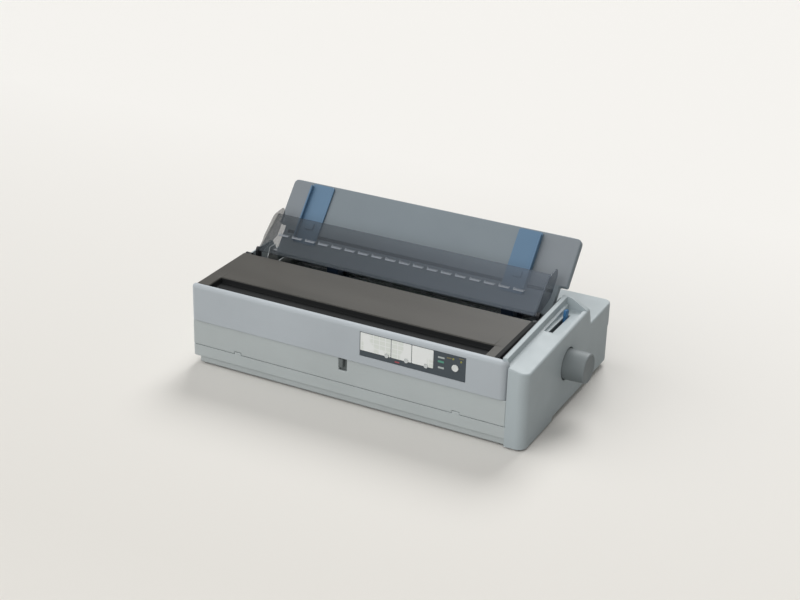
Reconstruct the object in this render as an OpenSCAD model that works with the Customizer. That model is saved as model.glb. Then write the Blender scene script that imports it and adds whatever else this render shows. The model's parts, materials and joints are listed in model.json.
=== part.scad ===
// Wide dot matrix printer: a low moulded case with a row of hinged covers, a leaning sheet guide,
// and the platen, carriage and paper tractors that work inside it.
// Positions inside the case are measured from its front left corner at floor level:
// X to the right, Y to the rear, Z up. placed() then moves that corner so that the origin
// is the middle of the printer's footprint.

/* [Case] */
// Width of the case without the paper feed knob
case_w = 590; // [570:5:640]
// Depth of the case from its front face to its rear wall
case_d = 350; // [345:1:370]
// Height of the ridge beside the covers, at its front end
case_h = 145; // [143:1:150]
// Wall thickness of the mouldings
wall = 3; // [2.4:0.1:3.4]
// Height of the rubber feet
foot_h = 3; // [2:0.5:5]
// Radius of a rubber foot
foot_r = 9; // [6:0.5:12]
// Height at which the outer case wall starts above the inset skirt
skirt_h = 14; // [12:0.5:16]
// How far the skirt is set in from the left side
skirt_inset = 12; // [8:1:14]
// Height of the fixed lip below the front cover
lip_h = 34.5; // [32:0.5:38]
// Height of the lower case at the sides and rear
tray_h = 60; // [55:1:64]
// Height of the bottom edge of the front panel
fascia_low = 79; // [76:1:82]
// Height of the front panel's top edge
fascia_h = 141.5; // [140:0.5:146]
// Depth of the front panel's top edge
fascia_d = 9; // [8:0.5:13]

/* [Right tower] */
// Width of the tower beside the covers
tower_w = 32; // [28:1:38]
// Height of the tower's inner edge at the front
tower_in_h = 133.5; // [130:0.5:136]
// Height of the tower's outer edge at the front
tower_out_h = 127.6; // [124:0.5:129]
// Slope of the tower's top towards the rear, in degrees
tower_tilt = 2.87; // [2:0.1:3.5]
// Radius of the tower's upright front corner
corner_r = 14; // [8:1:18]
// Width of the ridge between the covers and the tower
ridge_w = 8; // [6:0.5:10]
// Height of the low deck behind the tower
deck_h = 112; // [110:0.5:114]
// Where the tower ends and the low deck starts
deck_y = 255; // [252:1:258]
// Front edge of the deck plate behind the paper path
deck_front = 264; // [260:1:268]

/* [Printer cover] */
// Thickness of the smoked covers
cover_t = 2.6; // [2:0.1:3]
// Depth of the grip scoop at the cover's front
scoop_d = 40; // [30:1:46]
// Width of each flat end beside the scoop
scoop_end = 26; // [20:1:34]
// Height of the printer cover's hinge axis
cover_axis_z = 137; // [136:0.5:138]
// Distance of the printer cover's hinge axis from the front
cover_axis_y = 158; // [156:1:160]
// Radius of the covers' hinge pins
pin_r = 2; // [1.6:0.1:2.4]

/* [Guide cover] */
// Height of the guide cover's hinge axis
hood_axis_z = 144; // [143:0.5:146]
// Distance of the guide cover's hinge axis from the front
hood_axis_y = 173; // [172:0.5:175]
// Length of the sloping panel
hood_len = 71; // [64:1:74]
// Slope of the panel above level, in degrees
hood_slope = 35.5; // [32:0.5:38]
// Distance of the guide cover's sides from the case's left side
hood_x = 22; // [21:0.5:24]

/* [Sheet guide] */
// Height of the sheet guide's pivot
guide_axis_z = 128; // [126:0.5:130]
// Distance of the sheet guide's pivot from the front
guide_axis_y = 217; // [215:0.5:220]
// Length of the sheet guide above its pivot
guide_len = 131; // [120:1:140]
// Lean of the sheet guide from upright, in degrees
guide_lean = 40; // [38:0.5:42]
// Depth of the sheet guide's rim
guide_t = 10; // [8:0.5:11]
// Width of a blue edge guide
edge_w = 42; // [36:1:48]
// Distance of the left edge guide from the left end of the sheet guide's foot
edge_left_in = 26; // [16:1:40]
// Distance of the right edge guide from the right end of the sheet guide's foot
edge_right_in = 52; // [44:1:70]

/* [Platen and feed] */
// Distance of the platen's axis from the front
platen_y = 163; // [162:0.5:164]
// Height of the platen's axis
platen_z = 80; // [79:0.5:81]
// Radius of the rubber roller
platen_r = 16; // [14:0.5:17]
// Radius of the platen's shaft
shaft_r = 4; // [3:0.25:5]
// Radius of the paper feed knob
knob_r = 25; // [22:0.5:26]
// How far the knob stands out of the case
knob_out = 36; // [28:1:48]
// Size of a gear tooth, as pitch diameter over teeth
gear_module = 1; // [0.95:0.01:1.02]
// Face width of the gears
gear_w = 5.5; // [4:0.1:5.6]

/* [Carriage] */
// Distance of the carriage rod from the platen's axis
rod_back = 54; // [53:0.5:56]
// Height of the carriage rod
rod_z = 50; // [49:0.5:51]
// Radius of the carriage rod
rod_r = 6; // [5:0.5:7]
// Width of the carriage
carriage_w = 60; // [50:1:70]
// Radius of the carriage belt's pulleys
belt_r = 9; // [8:0.5:10]
// Thickness of the carriage belt
belt_t = 1.2; // [1:0.1:1.4]

/* [Control panel] */
// Width of the dark panel plate
panel_w = 180; // [176:1:190]
// Distance from the case's left side to the panel plate
panel_x = 311; // [300:1:320]
// Height of the panel plate
panel_h = 41; // [39:0.5:43]
// Radius of a small round button
button_r = 3.5; // [3:0.1:4]
// Radius of the large round button
pause_r = 5.5; // [4.5:0.1:6]
// Spacing of the small buttons
button_gap = 33.5; // [30:0.5:35]

/* [Clearances] */
// Gap between parts that move past each other
gap = 0.3; // [0.25:0.01:0.4]
// Radial gap of a shaft in its bearing
run = 0.05; // [0.02:0.01:0.08]

/* [Hidden] */
$fn = 48;
eps = 0.01;
far = 1000;
high = 200;
over = 1;

// Screws
screw_r = 2;
screw_hole_r = screw_r + 0.1;
screw_cap_r = 3.8;

// Overall reach of the printer, which sets the origin in the middle of its footprint
button_proud = 0.8;
screw_head_h = 1.8;
origin_x = (case_w + knob_out) / 2;
origin_y = (case_d + screw_head_h - button_proud) / 2;

// Case
seam_x = case_w - tower_w;
ridge_x0 = seam_x - 12;
ridge_x1 = ridge_x0 + ridge_w;
front_y = 3;
tower_front_y = 2;
rear_r = 12;
floor_z = foot_h + wall;
base_t = 1.2;
base_top = floor_z + base_t;
side_relief = 1;

// Side frames
frame_t = 2;
frame_left_x = 18;
frame_right_x = ridge_x0 - wall - frame_t;
frame_top = cover_axis_z - 19;
between_left = frame_left_x + frame_t;

// Printer cover
cover_left = 4;
cover_right = frame_right_x - wall;
cover_front = fascia_d + 0.8;
cover_rear = cover_axis_y - 6;
cover_top = case_h - 4.4;
cover_rise = 2.6;
lug_r = 5;
lug_w = 6;
ear_w = 5;

// Guide cover
hood_right = cover_right - 8;
hood_lo_y = hood_axis_y - 2;
hood_lo_z = hood_axis_z + 7;

// Sheet guide, drawn upright with its pivot at the origin, front face towards -Y
guide_front = -5;
guide_skin = 3;
guide_step = 48;
guide_left = 17;
guide_right = ridge_x0 + 3;
guide_low_left = 30;
guide_low_right = cover_right - 2;
rail_s = 34;
rail_h = 6;
guide_pin_r = 3;
edge_left_x = guide_low_left + edge_left_in;
edge_right_x = guide_low_right - edge_right_in - edge_w;

// Platen drive
gear_x = 7;
pulley_x = gear_x + gear_w + 0.7;
pulley_w = frame_left_x - pulley_x - 0.6;
pulley_r = 10;
platen_teeth = 48;
idler_teeth = 24;
pinion_teeth = 12;
idler_dir = -60;
pinion_dir = -30;
idler_dist = gear_module * (platen_teeth + idler_teeth) / 2;
pinion_dist = gear_module * (idler_teeth + pinion_teeth) / 2;
idler_y = platen_y + idler_dist * cos(idler_dir);
idler_z = platen_z + idler_dist * sin(idler_dir);
pinion_y = idler_y + pinion_dist * cos(pinion_dir);
pinion_z = idler_z + pinion_dist * sin(pinion_dir);
motor_r = 18;
motor_boss_r = 4.5;
motor_shaft_r = 1.5;
stud_r = 2;
knob_hole_r = knob_r + 2;

// Tractors
tractor_y = platen_y + 127;
tractor_z = platen_z;
tractor_rod_r = 3;
square_side = 6;
rail_dy = -18;
rail_dz = -10;
tractor_w = 22;
tractor_left_x = 100;
tractor_right_x = frame_right_x - 111;
window = square_side * sqrt(2) + 5.5;

// Carriage
rod_y = platen_y - rod_back;
carriage_x = (between_left + frame_right_x) / 2;
carriage_top = rod_z + 22;
carriage_low = rod_z - 10;
rail_z = carriage_top - 9;
rail_t = 1.5;
nose_y = platen_y - platen_r - 1.5;
rail_front = rod_y - 57;
belt_y = rod_y - 23;
belt_left_x = 44;
belt_right_x = frame_right_x - 25;
belt_z = base_top + 18.8;
belt_h = 6;
spindle_r = 2.5;

// Control panel
panel_z = case_h - 52;
plate_y = 0.6;
button_z = panel_z + 11;
button_x = panel_x + 47;
pause_x = panel_x + panel_w - 17.5;
pause_z = panel_z + 20;
panel_edge = 4;
panel_brow = 1.5;
panel_back = wall + 1.5;
hole_back = panel_back + 0.5;
board_y = wall + 4;
board_t = 1.6;
post_r = 2;

// Front cover
door_t = 4;
door_back = front_y + door_t + gap;
door_axis_y = front_y + door_t / 2;
door_axis_z = lip_h + gap + door_t / 2;
door_pin_r = 1;
latch_x = 273;
latch_w = 14;
latch_low = fascia_low - 16;
latch_top = fascia_low - 2;
slot_low = fascia_low - 22;
plate_t = 2;
plate_edge = 4;

// Release lever
lever_x = seam_x + 5.5;
lever_t = 5;
lever_y = platen_y + 22;
lever_z = platen_z - 14;
lever_len = 86;
lever_lean = 13.5;
lever_pin_r = 3;
slot_z = 90;

light_grey = "#b4bcc0";
case_grey = "#a3aaa8";
smoke = "#5f5e5a";
black = "#1e2022";
steel = "#9a9da0";
blue = "#5a83a8";

// Shared helpers ---------------------------------------------------------------------------------

// Move the case's front left corner so that the origin is the middle of the footprint
module placed() translate([-origin_x, -origin_y, 0]) children();

// Box between two opposite corners
module box(low, high) translate(low) cube(high - low);

// Extrude a (y, z) outline along X from x0 to x1
module along_x(x0, x1) translate([x0, 0, 0]) rotate([90, 0, 90]) linear_extrude(x1 - x0) children();

// Extrude an (x, z) outline along Y from y0 to y1
module along_y(y0, y1) translate([0, y1, 0]) rotate([90, 0, 0]) linear_extrude(y1 - y0) children();

// Cylinder along X from x0 to x1
module rod_x(x0, x1, y, z, r) translate([x0, y, z]) rotate([0, 90, 0]) cylinder(h = x1 - x0, r = r);

// Cylinder along Y from y0 to y1
module rod_y_dir(y0, y1, x, z, r) translate([x, y0, z]) rotate([-90, 0, 0]) cylinder(h = y1 - y0, r = r);

// Points of an arc round a centre
function arc(cx, cy, r, a0, a1, n = 6) =
  [for (i = [0 : n]) [cx + r * cos(a0 + (a1 - a0) * i / n), cy + r * sin(a0 + (a1 - a0) * i / n)]];

// Rectangle from (x0, y0) to (x1, y1) whose corners are rounded by the radii [sw, se, ne, nw]
module rounded_rect(x0, y0, x1, y1, r)
  polygon(concat(
    arc(x0 + r[0], y0 + r[0], r[0], 180, 270),
    arc(x1 - r[1], y0 + r[1], r[1], 270, 360),
    arc(x1 - r[2], y1 - r[2], r[2], 0, 90),
    arc(x0 + r[3], y1 - r[3], r[3], 90, 180)));

// Spur gear outline with straight-flanked teeth, one tooth centred at the angle phase
module spur(teeth, phase) {
  pitch_r = gear_module * teeth / 2;
  tip = pitch_r + 0.85 * gear_module;
  root = pitch_r - 1.15 * gear_module;
  step = 360 / teeth;
  polygon([for (i = [0 : teeth - 1]) for (k = [0 : 3])
    let (half = (k == 0 || k == 3) ? 0.33 : 0.13,
         side = k < 2 ? -1 : 1,
         r = (k == 0 || k == 3) ? root : tip,
         a = phase + step * (i + side * half))
      [r * cos(a), r * sin(a)]]);
}

// Belt loop outline round two pulleys of radius r, span apart along X
module belt_outline(span, r) {
  circle(r);
  translate([span, 0]) circle(r);
  translate([0, -r]) square([span, 2 * r]);
}

// Case -------------------------------------------------------------------------------------------

// Plan of the tray, set in by a distance, with a step where the tower's skin passes outside it
module tray_plan(i) {
  x1 = seam_x - gap - i;
  d = wall + gap + i;
  polygon(concat(
    [[i, front_y + i], [x1, front_y + i], [x1, tower_front_y + d]],
    arc(case_w - corner_r, tower_front_y + corner_r, corner_r - d, 270, 360),
    arc(case_w - rear_r, case_d - rear_r, rear_r - d, 0, 90),
    [[x1, case_d - d], [x1, case_d - i], [i, case_d - i]]));
}

// Plan of the skirt below the tray, set in by a distance
module skirt_plan(i)
  rounded_rect(skirt_inset + i, front_y + skirt_front + i,
               skirt_right - i, case_d - skirt_rear - i, [1, 10 - i, 1, 1]);
skirt_front = 3;
skirt_rear = 8;
skirt_right = case_w - wall - gap - 4;

module lower_case() color(case_grey) placed() {
  difference() {
    union() {
      translate([0, 0, skirt_h]) linear_extrude(tray_h - skirt_h) tray_plan(0);
      translate([0, 0, foot_h]) linear_extrude(skirt_h + wall - foot_h) skirt_plan(0);
    }
    translate([0, 0, floor_z]) linear_extrude(tray_h) skirt_plan(wall);
    translate([0, 0, skirt_h + wall]) linear_extrude(tray_h) tray_plan(wall);
    // the front wall stops at the lip
    box([-over, -over, lip_h], [seam_x, door_back, tray_h + over]);
    box([seam_x - over, -over, lip_h], [case_w, tower_front_y + 2 * wall + 2, tray_h + over]);
    // sockets in the rear wall
    box([inlet_x, case_d - 2 * wall, inlet_z], [inlet_x + inlet_w, case_d + over, inlet_z + inlet_h]);
    for (x = socket_xs)
      box([x - gap, case_d - 2 * wall, socket_z - gap],
          [x + socket_w + gap, case_d + over, socket_z + socket_h + gap]);
    for (x = case_screw_xs) rod_y_dir(case_d - 2 * wall, case_d + over, x, case_screw_z, screw_hole_r);
    for (p = base_screw_places) translate([p[0], p[1], 0]) cylinder(h = floor_z + over, r = screw_hole_r);
    // the paper feed knob dips below the right wall's edge
    knob_hole();
  }
  // ears that carry the front cover's pins
  for (x = door_ear_xs) difference() {
    union() {
      rod_x(x, x + door_ear_w, door_axis_y, door_axis_z, door_t / 2);
      box([x, front_y, lip_h - 2], [x + door_ear_w, front_y + wall - 0.1, door_axis_z]);
    }
    rod_x(x - over, x + door_ear_w + over, door_axis_y, door_axis_z, door_pin_r + run);
  }
}
door_ear_w = 12;
door_ear_xs = [80, seam_x - 88];
inlet_x = case_w - 90;
inlet_z = 24;
inlet_w = 28;
inlet_h = 24;
inlet_depth = 26;
inlet_rim = 4;
socket_xs = [60, 140];
socket_z = 24;
socket_w = 56;
socket_h = 14;
case_screw_z = tray_h - 8;
lip_x0 = 20;
lip_x1 = inlet_x - 8;
case_screw_xs = [40, case_w / 2 - 10, lip_x1 - 20];
base_screw_places = [for (x = [34, case_w / 2 - 10, seam_x - 30]) for (y = [16, case_d - 24]) [x, y]];

module rubber_feet() color(black) placed()
  for (x = [40, seam_x - 10]) for (y = [32, case_d - 32])
    translate([x, y, 0]) cylinder(h = foot_h, r = foot_r);

module base_plate() color(steel) placed() difference() {
  box([skirt_inset + wall + over, 10, floor_z], [seam_x + 8, case_d - 12, base_top]);
  for (p = base_screw_places) translate([p[0], p[1], 0]) cylinder(h = base_top + over, r = screw_hole_r);
}

module base_screws() color(steel) placed()
  for (p = base_screw_places) translate([p[0], p[1], 0]) {
    translate([0, 0, foot_h + 0.5]) cylinder(h = base_top - foot_h, r = screw_r);
    translate([0, 0, base_top]) cylinder(h = screw_head_h, r = screw_cap_r);
  }

// The tower and its ridge as a solid, set in by a distance
module tower_body(i) intersection() {
  // plan with the rounded upright corners
  linear_extrude(far, center = true)
    rounded_rect(ridge_x0 + i, tower_front_y + i, case_w - i, case_d - i, [1, corner_r - i, rear_r - i, 1]);
  // side view: the sloped rear end, the low deck and the raised underside
  along_x(ridge_x0, case_w)
    polygon([[0, foot_h - eps], [0, high], [deck_y - i - (high - deck_h) / end_slope, high],
             [deck_y - i, deck_h - i], [case_d + over, deck_h + deck_rise - i],
             [case_d + over, hem_z], [hem_y, hem_z], [hem_y, foot_h - eps]]);
  // front view, tilted up towards the rear
  rotate([tower_tilt, 0, 0]) along_y(-20, 2 * case_d)
    polygon([[ridge_x0 + i, -high], [ridge_x0 + i, case_h - i], [ridge_x1 - i, case_h - i],
             [ridge_x1 - i, tower_in_h + 0.7 - i], [case_w - 3, tower_out_h + 0.4 - i],
             [case_w - 0.8, tower_out_h - 1 - i], [case_w, tower_out_h - 3 - i], [case_w, -high]]);
}

// Raised end behind the lever recess, falling from the ridge to the tower's outer edge
module tower_gusset(i) intersection() {
  y0 = gusset_y + i;
  y1 = deck_y - i;
  along_x(ridge_x0, case_w)
    polygon([[y0, gusset_z], [y0, deck_h - i + (y1 - y0) * end_slope], [y1, deck_h - i], [y1, gusset_z]]);
  along_y(0, case_d)
    polygon([[ridge_x0 + i, gusset_z], [ridge_x0 + i, ridge_rear_z - i], [ridge_x1 + 7, ridge_rear_z - i],
             [case_w - 0.8 - i, ridge_rear_z - gusset_fall - i], [case_w - 0.8 - i, gusset_z]]);
}
hem_z = 10;
hem_y = 112;
deck_rise = 3;
gusset_y = deck_y - 19;
gusset_z = 100;
gusset_fall = 17;
end_slope = 3.1;
ridge_rear_z = case_h + gusset_y * tan(tower_tilt);

module upper_case() color(light_grey) placed() {
  difference() {
    union() {
      tower_body(0);
      tower_gusset(0);
    }
    difference() {
      union() {
        tower_body(wall);
        tower_gusset(wall);
      }
      // floor of the lever recess keeps its own thickness
      recess(-wall);
    }
    recess(0);
    // open towards the inside, below the ridge's inner wall
    box([ridge_x0 - over, tower_front_y + wall, -over],
        [seam_x + wall + over, case_d - wall, deck_h - wall - 8]);
    box([ridge_x0 - over, deck_y - 20, -over], [seam_x + wall + over, case_d - wall, deck_h - wall - over]);
    box([ridge_x0 - 1, -1, -1], [seam_x, tower_front_y + wall + 3, far]);
    box([ridge_x0 - 1, tower_front_y + wall + 2, -1], [seam_x, fascia_d + gap, far]);
    box([-over, 0, -over], [seam_x, case_d + over, tray_h + gap]);
    // slot of the release lever and hole of the paper feed knob
    box([lever_x - over, lever_y - 43, slot_z], [lever_x + lever_t + over, lever_y + 29, high]);
    knob_hole();
    // shallow relief in the rear lower corner of the side
    box([case_w - side_relief, deck_y + 3, -over], [case_w + over, case_d + over, platen_z - 6]);
  }
  // left wall with its rim, stepping down to the deck
  along_x(0, wall)
    polygon([[door_back, tray_h + gap], [door_back, fascia_low - gap], [fascia_d + gap, fascia_low - gap],
             [fascia_d + gap, rim_z], [deck_y - 10, rim_z],
             [deck_y, deck_h], [case_d, deck_h + deck_rise], [case_d, tray_h + gap]]);
  // deck plate and rear wall
  difference() {
    along_x(0, seam_x + over)
      polygon([[deck_front, deck_h + 0.3 - wall], [deck_front, deck_h + 0.3], [case_d, deck_h + deck_rise],
               [case_d, tray_h + gap], [case_d - wall, tray_h + gap], [case_d - wall, deck_h + 2.9 - wall]]);
    box([paper_slot_x0, case_d - wall - over, paper_slot_z0], [paper_slot_x1, case_d + over, paper_slot_z1]);
  }
  // inner lip that the rear screws hold
  difference() {
    box([lip_x0, case_d - 2 * wall - gap, tray_h - 18], [lip_x1, case_d - wall - gap, tray_h + 4]);
    for (x = case_screw_xs) rod_y_dir(case_d - 20, case_d, x, case_screw_z, screw_hole_r);
  }
  box([lip_x0, case_d - wall - gap - eps, tray_h + gap], [lip_x1, case_d - over, tray_h + 4]);
}
rim_z = case_h - 12;
paper_slot_x0 = 40;
paper_slot_x1 = seam_x - 38;
paper_slot_z0 = tray_h + 6;
paper_slot_z1 = tray_h + 36;

// Hole in the right wall for the paper feed knob
module knob_hole() rod_x(seam_x + 10, case_w + 1, platen_y, platen_z, knob_hole_r);

recess_z = tower_in_h + 3;

// Shallow recess round the release lever, level while the tower's top rises past it
module recess(i)
  box([ridge_x1 + 4 + i, lever_y - 50 + i, recess_z + i], [case_w - 7 - i, gusset_y - i, high]);

module case_screws() color(steel) placed()
  for (x = case_screw_xs) {
    rod_y_dir(case_d - 10, case_d, x, case_screw_z, screw_r);
    rod_y_dir(case_d, case_d + screw_head_h, x, case_screw_z, screw_cap_r);
  }

// Front panel as a solid, set in by a distance and open to the rear
module fascia_body(i) intersection() {
  along_x(-over, seam_x)
    polygon(concat([[fascia_d + i, fascia_low + i], [i, fascia_low + i]],
                   arc(brow_r, fascia_h - brow_r, brow_r - i, 180, 90), [[fascia_d + i, fascia_h - i]]));
  linear_extrude(far, center = true)
    rounded_rect(i, i, seam_x - gap - i, fascia_d + 20, [8 - i, 12 - i, 1, 1]);
}

brow_r = 5;

module front_fascia() color(light_grey) placed() difference() {
  intersection() {
    fascia_body(0);
    box([-1, -1, 0], [seam_x, fascia_d, far]);
  }
  fascia_body(wall);
  box([panel_x, -over, panel_z], [panel_x + panel_w, wall + over, panel_z + panel_h]);
}

// Control panel ----------------------------------------------------------------------------------

button_xs = [for (i = [0 : 2]) button_x + i * button_gap];
board_posts = [[panel_x + 8, panel_z + 7], [panel_x + 8, panel_z + panel_h - 7],
               [panel_x + panel_w - 1, panel_z + 7], [panel_x + panel_w - 1, panel_z + panel_h - 4.5]];
lens_places = [[panel_x + panel_w - 21, panel_z + 34], [panel_x + panel_w - 8, panel_z + 32]];
lens_r = 1.8;

module control_panel() color("#4b5257") placed() {
  difference() {
    union() {
      box([panel_x + gap, plate_y, panel_z + gap], [panel_x + panel_w - gap, wall, panel_z + panel_h - gap]);
      box([panel_x - panel_edge, wall, panel_z - panel_edge],
          [panel_x + panel_w + panel_edge, panel_back, panel_z + panel_h + panel_brow]);
    }
    for (x = button_xs) rod_y_dir(-over, hole_back, x, button_z, button_r + gap);
    rod_y_dir(-over, hole_back, pause_x, pause_z, pause_r + gap);
    for (p = lens_places) rod_y_dir(-over, hole_back, p[0], p[1], lens_r + run);
  }
  for (p = board_posts) rod_y_dir(panel_back - eps, board_y, p[0], p[1], post_r);
}

// Three pale label plates over the small buttons
module panel_labels() color("#e8ebe6") placed() difference() {
  for (i = [0 : 2])
    box([label_xs[i], plate_y - 0.5, panel_z + 10],
        [label_xs[i + 1] - label_gap, plate_y, panel_z + panel_h - 3]);
  for (x = button_xs) rod_y_dir(-over, 2, x, button_z, button_r + gap);
}
label_gap = 1;
label_xs = [panel_x + 3, panel_x + 55, panel_x + 55 + button_gap + 1.5, panel_x + 57 + 2 * button_gap + 3];

module led_lenses() color("#8a9a50") placed()
  for (p = lens_places) {
    rod_y_dir(plate_y - 0.4, panel_back, p[0], p[1], lens_r);
    rod_y_dir(panel_back, wall + 2.2, p[0], p[1], lens_r + over);
  }

module control_board() color("#2d5a3c") placed() {
  box([panel_x - 2, board_y, panel_z + 1],
      [panel_x + panel_w + 2, board_y + board_t, panel_z + panel_h - 2]);
  for (x = button_xs) switch_pad(x, button_z);
  switch_pad(pause_x, pause_z);
}

// Tactile switch behind a button
module switch_pad(x, z)
  box([x - 3, board_y - 0.3, z - 3], [x + 3, board_y + eps, z + 3]);

// Round button with a collar behind the panel
module button(x, z, r) {
  rod_y_dir(-button_proud, board_y - 1.4, x, z, r);
  rod_y_dir(panel_back + gap, board_y - 1.4, x, z, r + 1.2);
}

module line_feed_button() color("#d6d9d8") placed() button(button_xs[0], button_z, button_r);
module form_feed_button() color("#d6d9d8") placed() button(button_xs[1], button_z, button_r);
module tear_off_button() color("#d6d9d8") placed() button(button_xs[2], button_z, button_r);
module pause_button() color("#e4e6e4") placed() button(pause_x, pause_z, pause_r);

// Front cover ------------------------------------------------------------------------------------

module front_cover() color(case_grey) placed() difference() {
  union() {
    box([gap + 0.7, front_y, door_axis_z], [seam_x - 2 * gap, front_y + door_t, fascia_low - gap]);
    rod_x(gap + 0.7, seam_x - 2 * gap, door_axis_y, door_axis_z, door_t / 2);
  }
  // notches for the case's ears, and the blind bores of the pins on both sides of each
  for (x = door_ear_xs) {
    box([x - gap, 0, 0], [x + door_ear_w + gap, front_y + door_t + over, door_axis_z + door_t / 2 + gap]);
    rod_x(x - 5, x + door_ear_w + 5, door_axis_y, door_axis_z, door_pin_r + run);
  }
  // finger slot of the latch
  box([latch_x, 0, slot_low], [latch_x + latch_w, front_y + door_t + over, fascia_low]);
}

module front_cover_pins() color(steel) placed()
  for (x = door_ear_xs) rod_x(x - 4.5, x + door_ear_w + 4.5, door_axis_y, door_axis_z, door_pin_r);

// Latch tab in the slot, with a plate behind the cover that keeps it in
module front_latch() color("#6f7779") placed() {
  box([latch_x + gap, button_proud, latch_low], [latch_x + 8, door_back + 0.1, latch_top]);
  box([latch_x - plate_edge, door_back, slot_low - plate_edge],
      [latch_x + latch_w + plate_edge, door_back + plate_t, latch_top]);
}

// Frames and hinges ------------------------------------------------------------------------------

// Outline of a side frame seen from the right
module frame_outline() polygon([[frame_front, base_top], [frame_rear, base_top], [frame_rear, frame_low],
  [guide_axis_y + 18, frame_low], [guide_axis_y + boss_w, guide_axis_z + boss_h],
  [guide_axis_y - boss_w, guide_axis_z + boss_h], [guide_axis_y - 2 * boss_w, frame_top],
  [frame_front, frame_top]]);
frame_front = 20;
frame_rear = case_d - 26;
frame_low = deck_h - 12;
boss_w = 8;
boss_h = 7;
bush_r = shaft_r + 3;

// Side frame from x0, with the bores of everything that it carries
module side_frame(x0) difference() {
  along_x(x0, x0 + frame_t) frame_outline();
  rod_x(x0 - over, x0 + frame_t + over, platen_y, platen_z, bush_r);
  rod_x(x0 - over, x0 + frame_t + over, rod_y, rod_z, rod_r + run);
  rod_x(x0 - over, x0 + frame_t + over, tractor_y, tractor_z, tractor_rod_r + run);
  rod_x(x0 - over, x0 + frame_t + over, tractor_y + rail_dy, tractor_z + rail_dz, tractor_rod_r + run);
  rod_x(x0 - over, x0 + frame_t + over, guide_axis_y, guide_axis_z, guide_pin_r + run);
}

module side_frame_left() color(steel) placed() difference() {
  side_frame(frame_left_x);
  rod_x(0, between_left + over, idler_y, idler_z, stud_r + run);
  rod_x(0, between_left + over, pinion_y, pinion_z, motor_boss_r + 0.5);
}

module side_frame_right() color(steel) placed() difference() {
  side_frame(frame_right_x);
  rod_x(frame_right_x - over, seam_x, lever_y, lever_z, lever_pin_r + run);
}

// Outline of an ear round an axis, standing on the hinge frame
module ear_outline(y, z) {
  translate([y, z]) circle(lug_r);
  translate([y - lug_r, frame_top + 1]) square([2 * lug_r, z - frame_top - 1]);
}

bar_h = 8;
cheek_t = 1.8;
cheek_rear = gusset_y - 4;
function cheek_z(y) = case_h - 2 + y * tan(tower_tilt);
ear_a_left = cover_left + 0.5;
ear_a_right = cover_right - 1;
ear_b_left = hood_x - ear_w - gap;
ear_b_right = hood_right + gap;

// Black frame behind and beside the printer cover, with the ears of both covers
module hinge_frame() color(black) placed() difference() {
  union() {
    box([ear_a_left, cover_axis_y - lug_r, frame_top],
        [frame_right_x + frame_t, hood_axis_y + 12, frame_top + bar_h]);
    box([cover_right + over, cover_front + 2, frame_top], [ridge_x0 - gap, cover_axis_y, frame_top + 3]);
    along_x(ridge_x0 - gap - cheek_t, ridge_x0 - gap)
      polygon([[cover_front + 2, frame_top], [cover_front + 2, cheek_z(cover_front)],
               [cheek_rear, cheek_z(cheek_rear)], [cheek_rear, frame_top]]);
    for (x = [ear_a_left, ear_a_right]) along_x(x, x + ear_w) ear_outline(cover_axis_y, cover_axis_z);
    for (x = [ear_b_left, ear_b_right]) along_x(x, x + ear_w) ear_outline(hood_axis_y, hood_axis_z);
  }
  for (x = [ear_a_left, ear_a_right])
    rod_x(x - over, x + ear_w + over, cover_axis_y, cover_axis_z, pin_r + run);
  for (x = [ear_b_left, ear_b_right])
    rod_x(x - over, x + ear_w + over, hood_axis_y, hood_axis_z, pin_r + run);
}

// Height of the printer cover's top at a distance from the front
function cover_z(y) = cover_top + cover_rise * (y - cover_front) / (cover_rear - cover_front);

lug_a_left = ear_a_left + ear_w + gap;
lug_a_right = ear_a_right - gap - lug_w;

module printer_cover() color(smoke) placed() difference() {
  union() {
    // flat area behind the scoop
    along_x(cover_left, cover_right)
      polygon([[scoop_y, cover_z(scoop_y) - cover_t], [scoop_y, cover_z(scoop_y)],
               [cover_rear, cover_z(cover_rear)], [cover_rear, cover_z(cover_rear) - cover_t]]);
    // full height ends beside the scoop
    for (x = [cover_left, cover_right - scoop_end])
      along_x(x, x + scoop_end)
        polygon([[cover_front, cover_z(cover_front) - scoop_h], [cover_front, cover_z(cover_front)],
                 [scoop_y + 1, cover_z(scoop_y + 1)], [scoop_y + 1, cover_z(scoop_y + 1) - cover_t],
                 [cover_front + cover_t, cover_z(cover_front) - cover_t],
                 [cover_front + cover_t, cover_z(cover_front) - scoop_h]]);
    // scoop floor and its back wall
    along_x(cover_left + scoop_end - cover_t, cover_right - scoop_end + cover_t)
      polygon([[cover_front, scoop_z - cover_t], [cover_front, scoop_z], [scoop_y - 3, scoop_z + 1],
               [scoop_y, cover_z(scoop_y)], [scoop_y + cover_t, cover_z(scoop_y)],
               [scoop_y + cover_t - 3, scoop_z + 1 - cover_t]]);
    // end walls of the scoop
    for (x = [cover_left + scoop_end - cover_t, cover_right - scoop_end])
      box([x, cover_front, scoop_z - cover_t], [x + cover_t, scoop_y + over, cover_z(cover_front) - eps]);
    // side flanges
    for (x = [cover_left, cover_right - cover_t])
      box([x, cover_front, cover_top - 11], [x + cover_t, cover_rear - 4, cover_top - eps]);
    // hinge lugs
    for (x = [lug_a_left, lug_a_right]) {
      rod_x(x, x + lug_w, cover_axis_y, cover_axis_z, lug_r);
      box([x, cover_rear - 12, cover_axis_z - 2], [x + lug_w, cover_axis_y - 2, cover_z(cover_rear) - over]);
    }
  }
  for (x = [lug_a_left, lug_a_right])
    rod_x(x - over, x + lug_w + over, cover_axis_y, cover_axis_z, pin_r + run);
}
scoop_y = cover_front + scoop_d;
scoop_h = 9;
scoop_z = cover_top - scoop_h;

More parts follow.
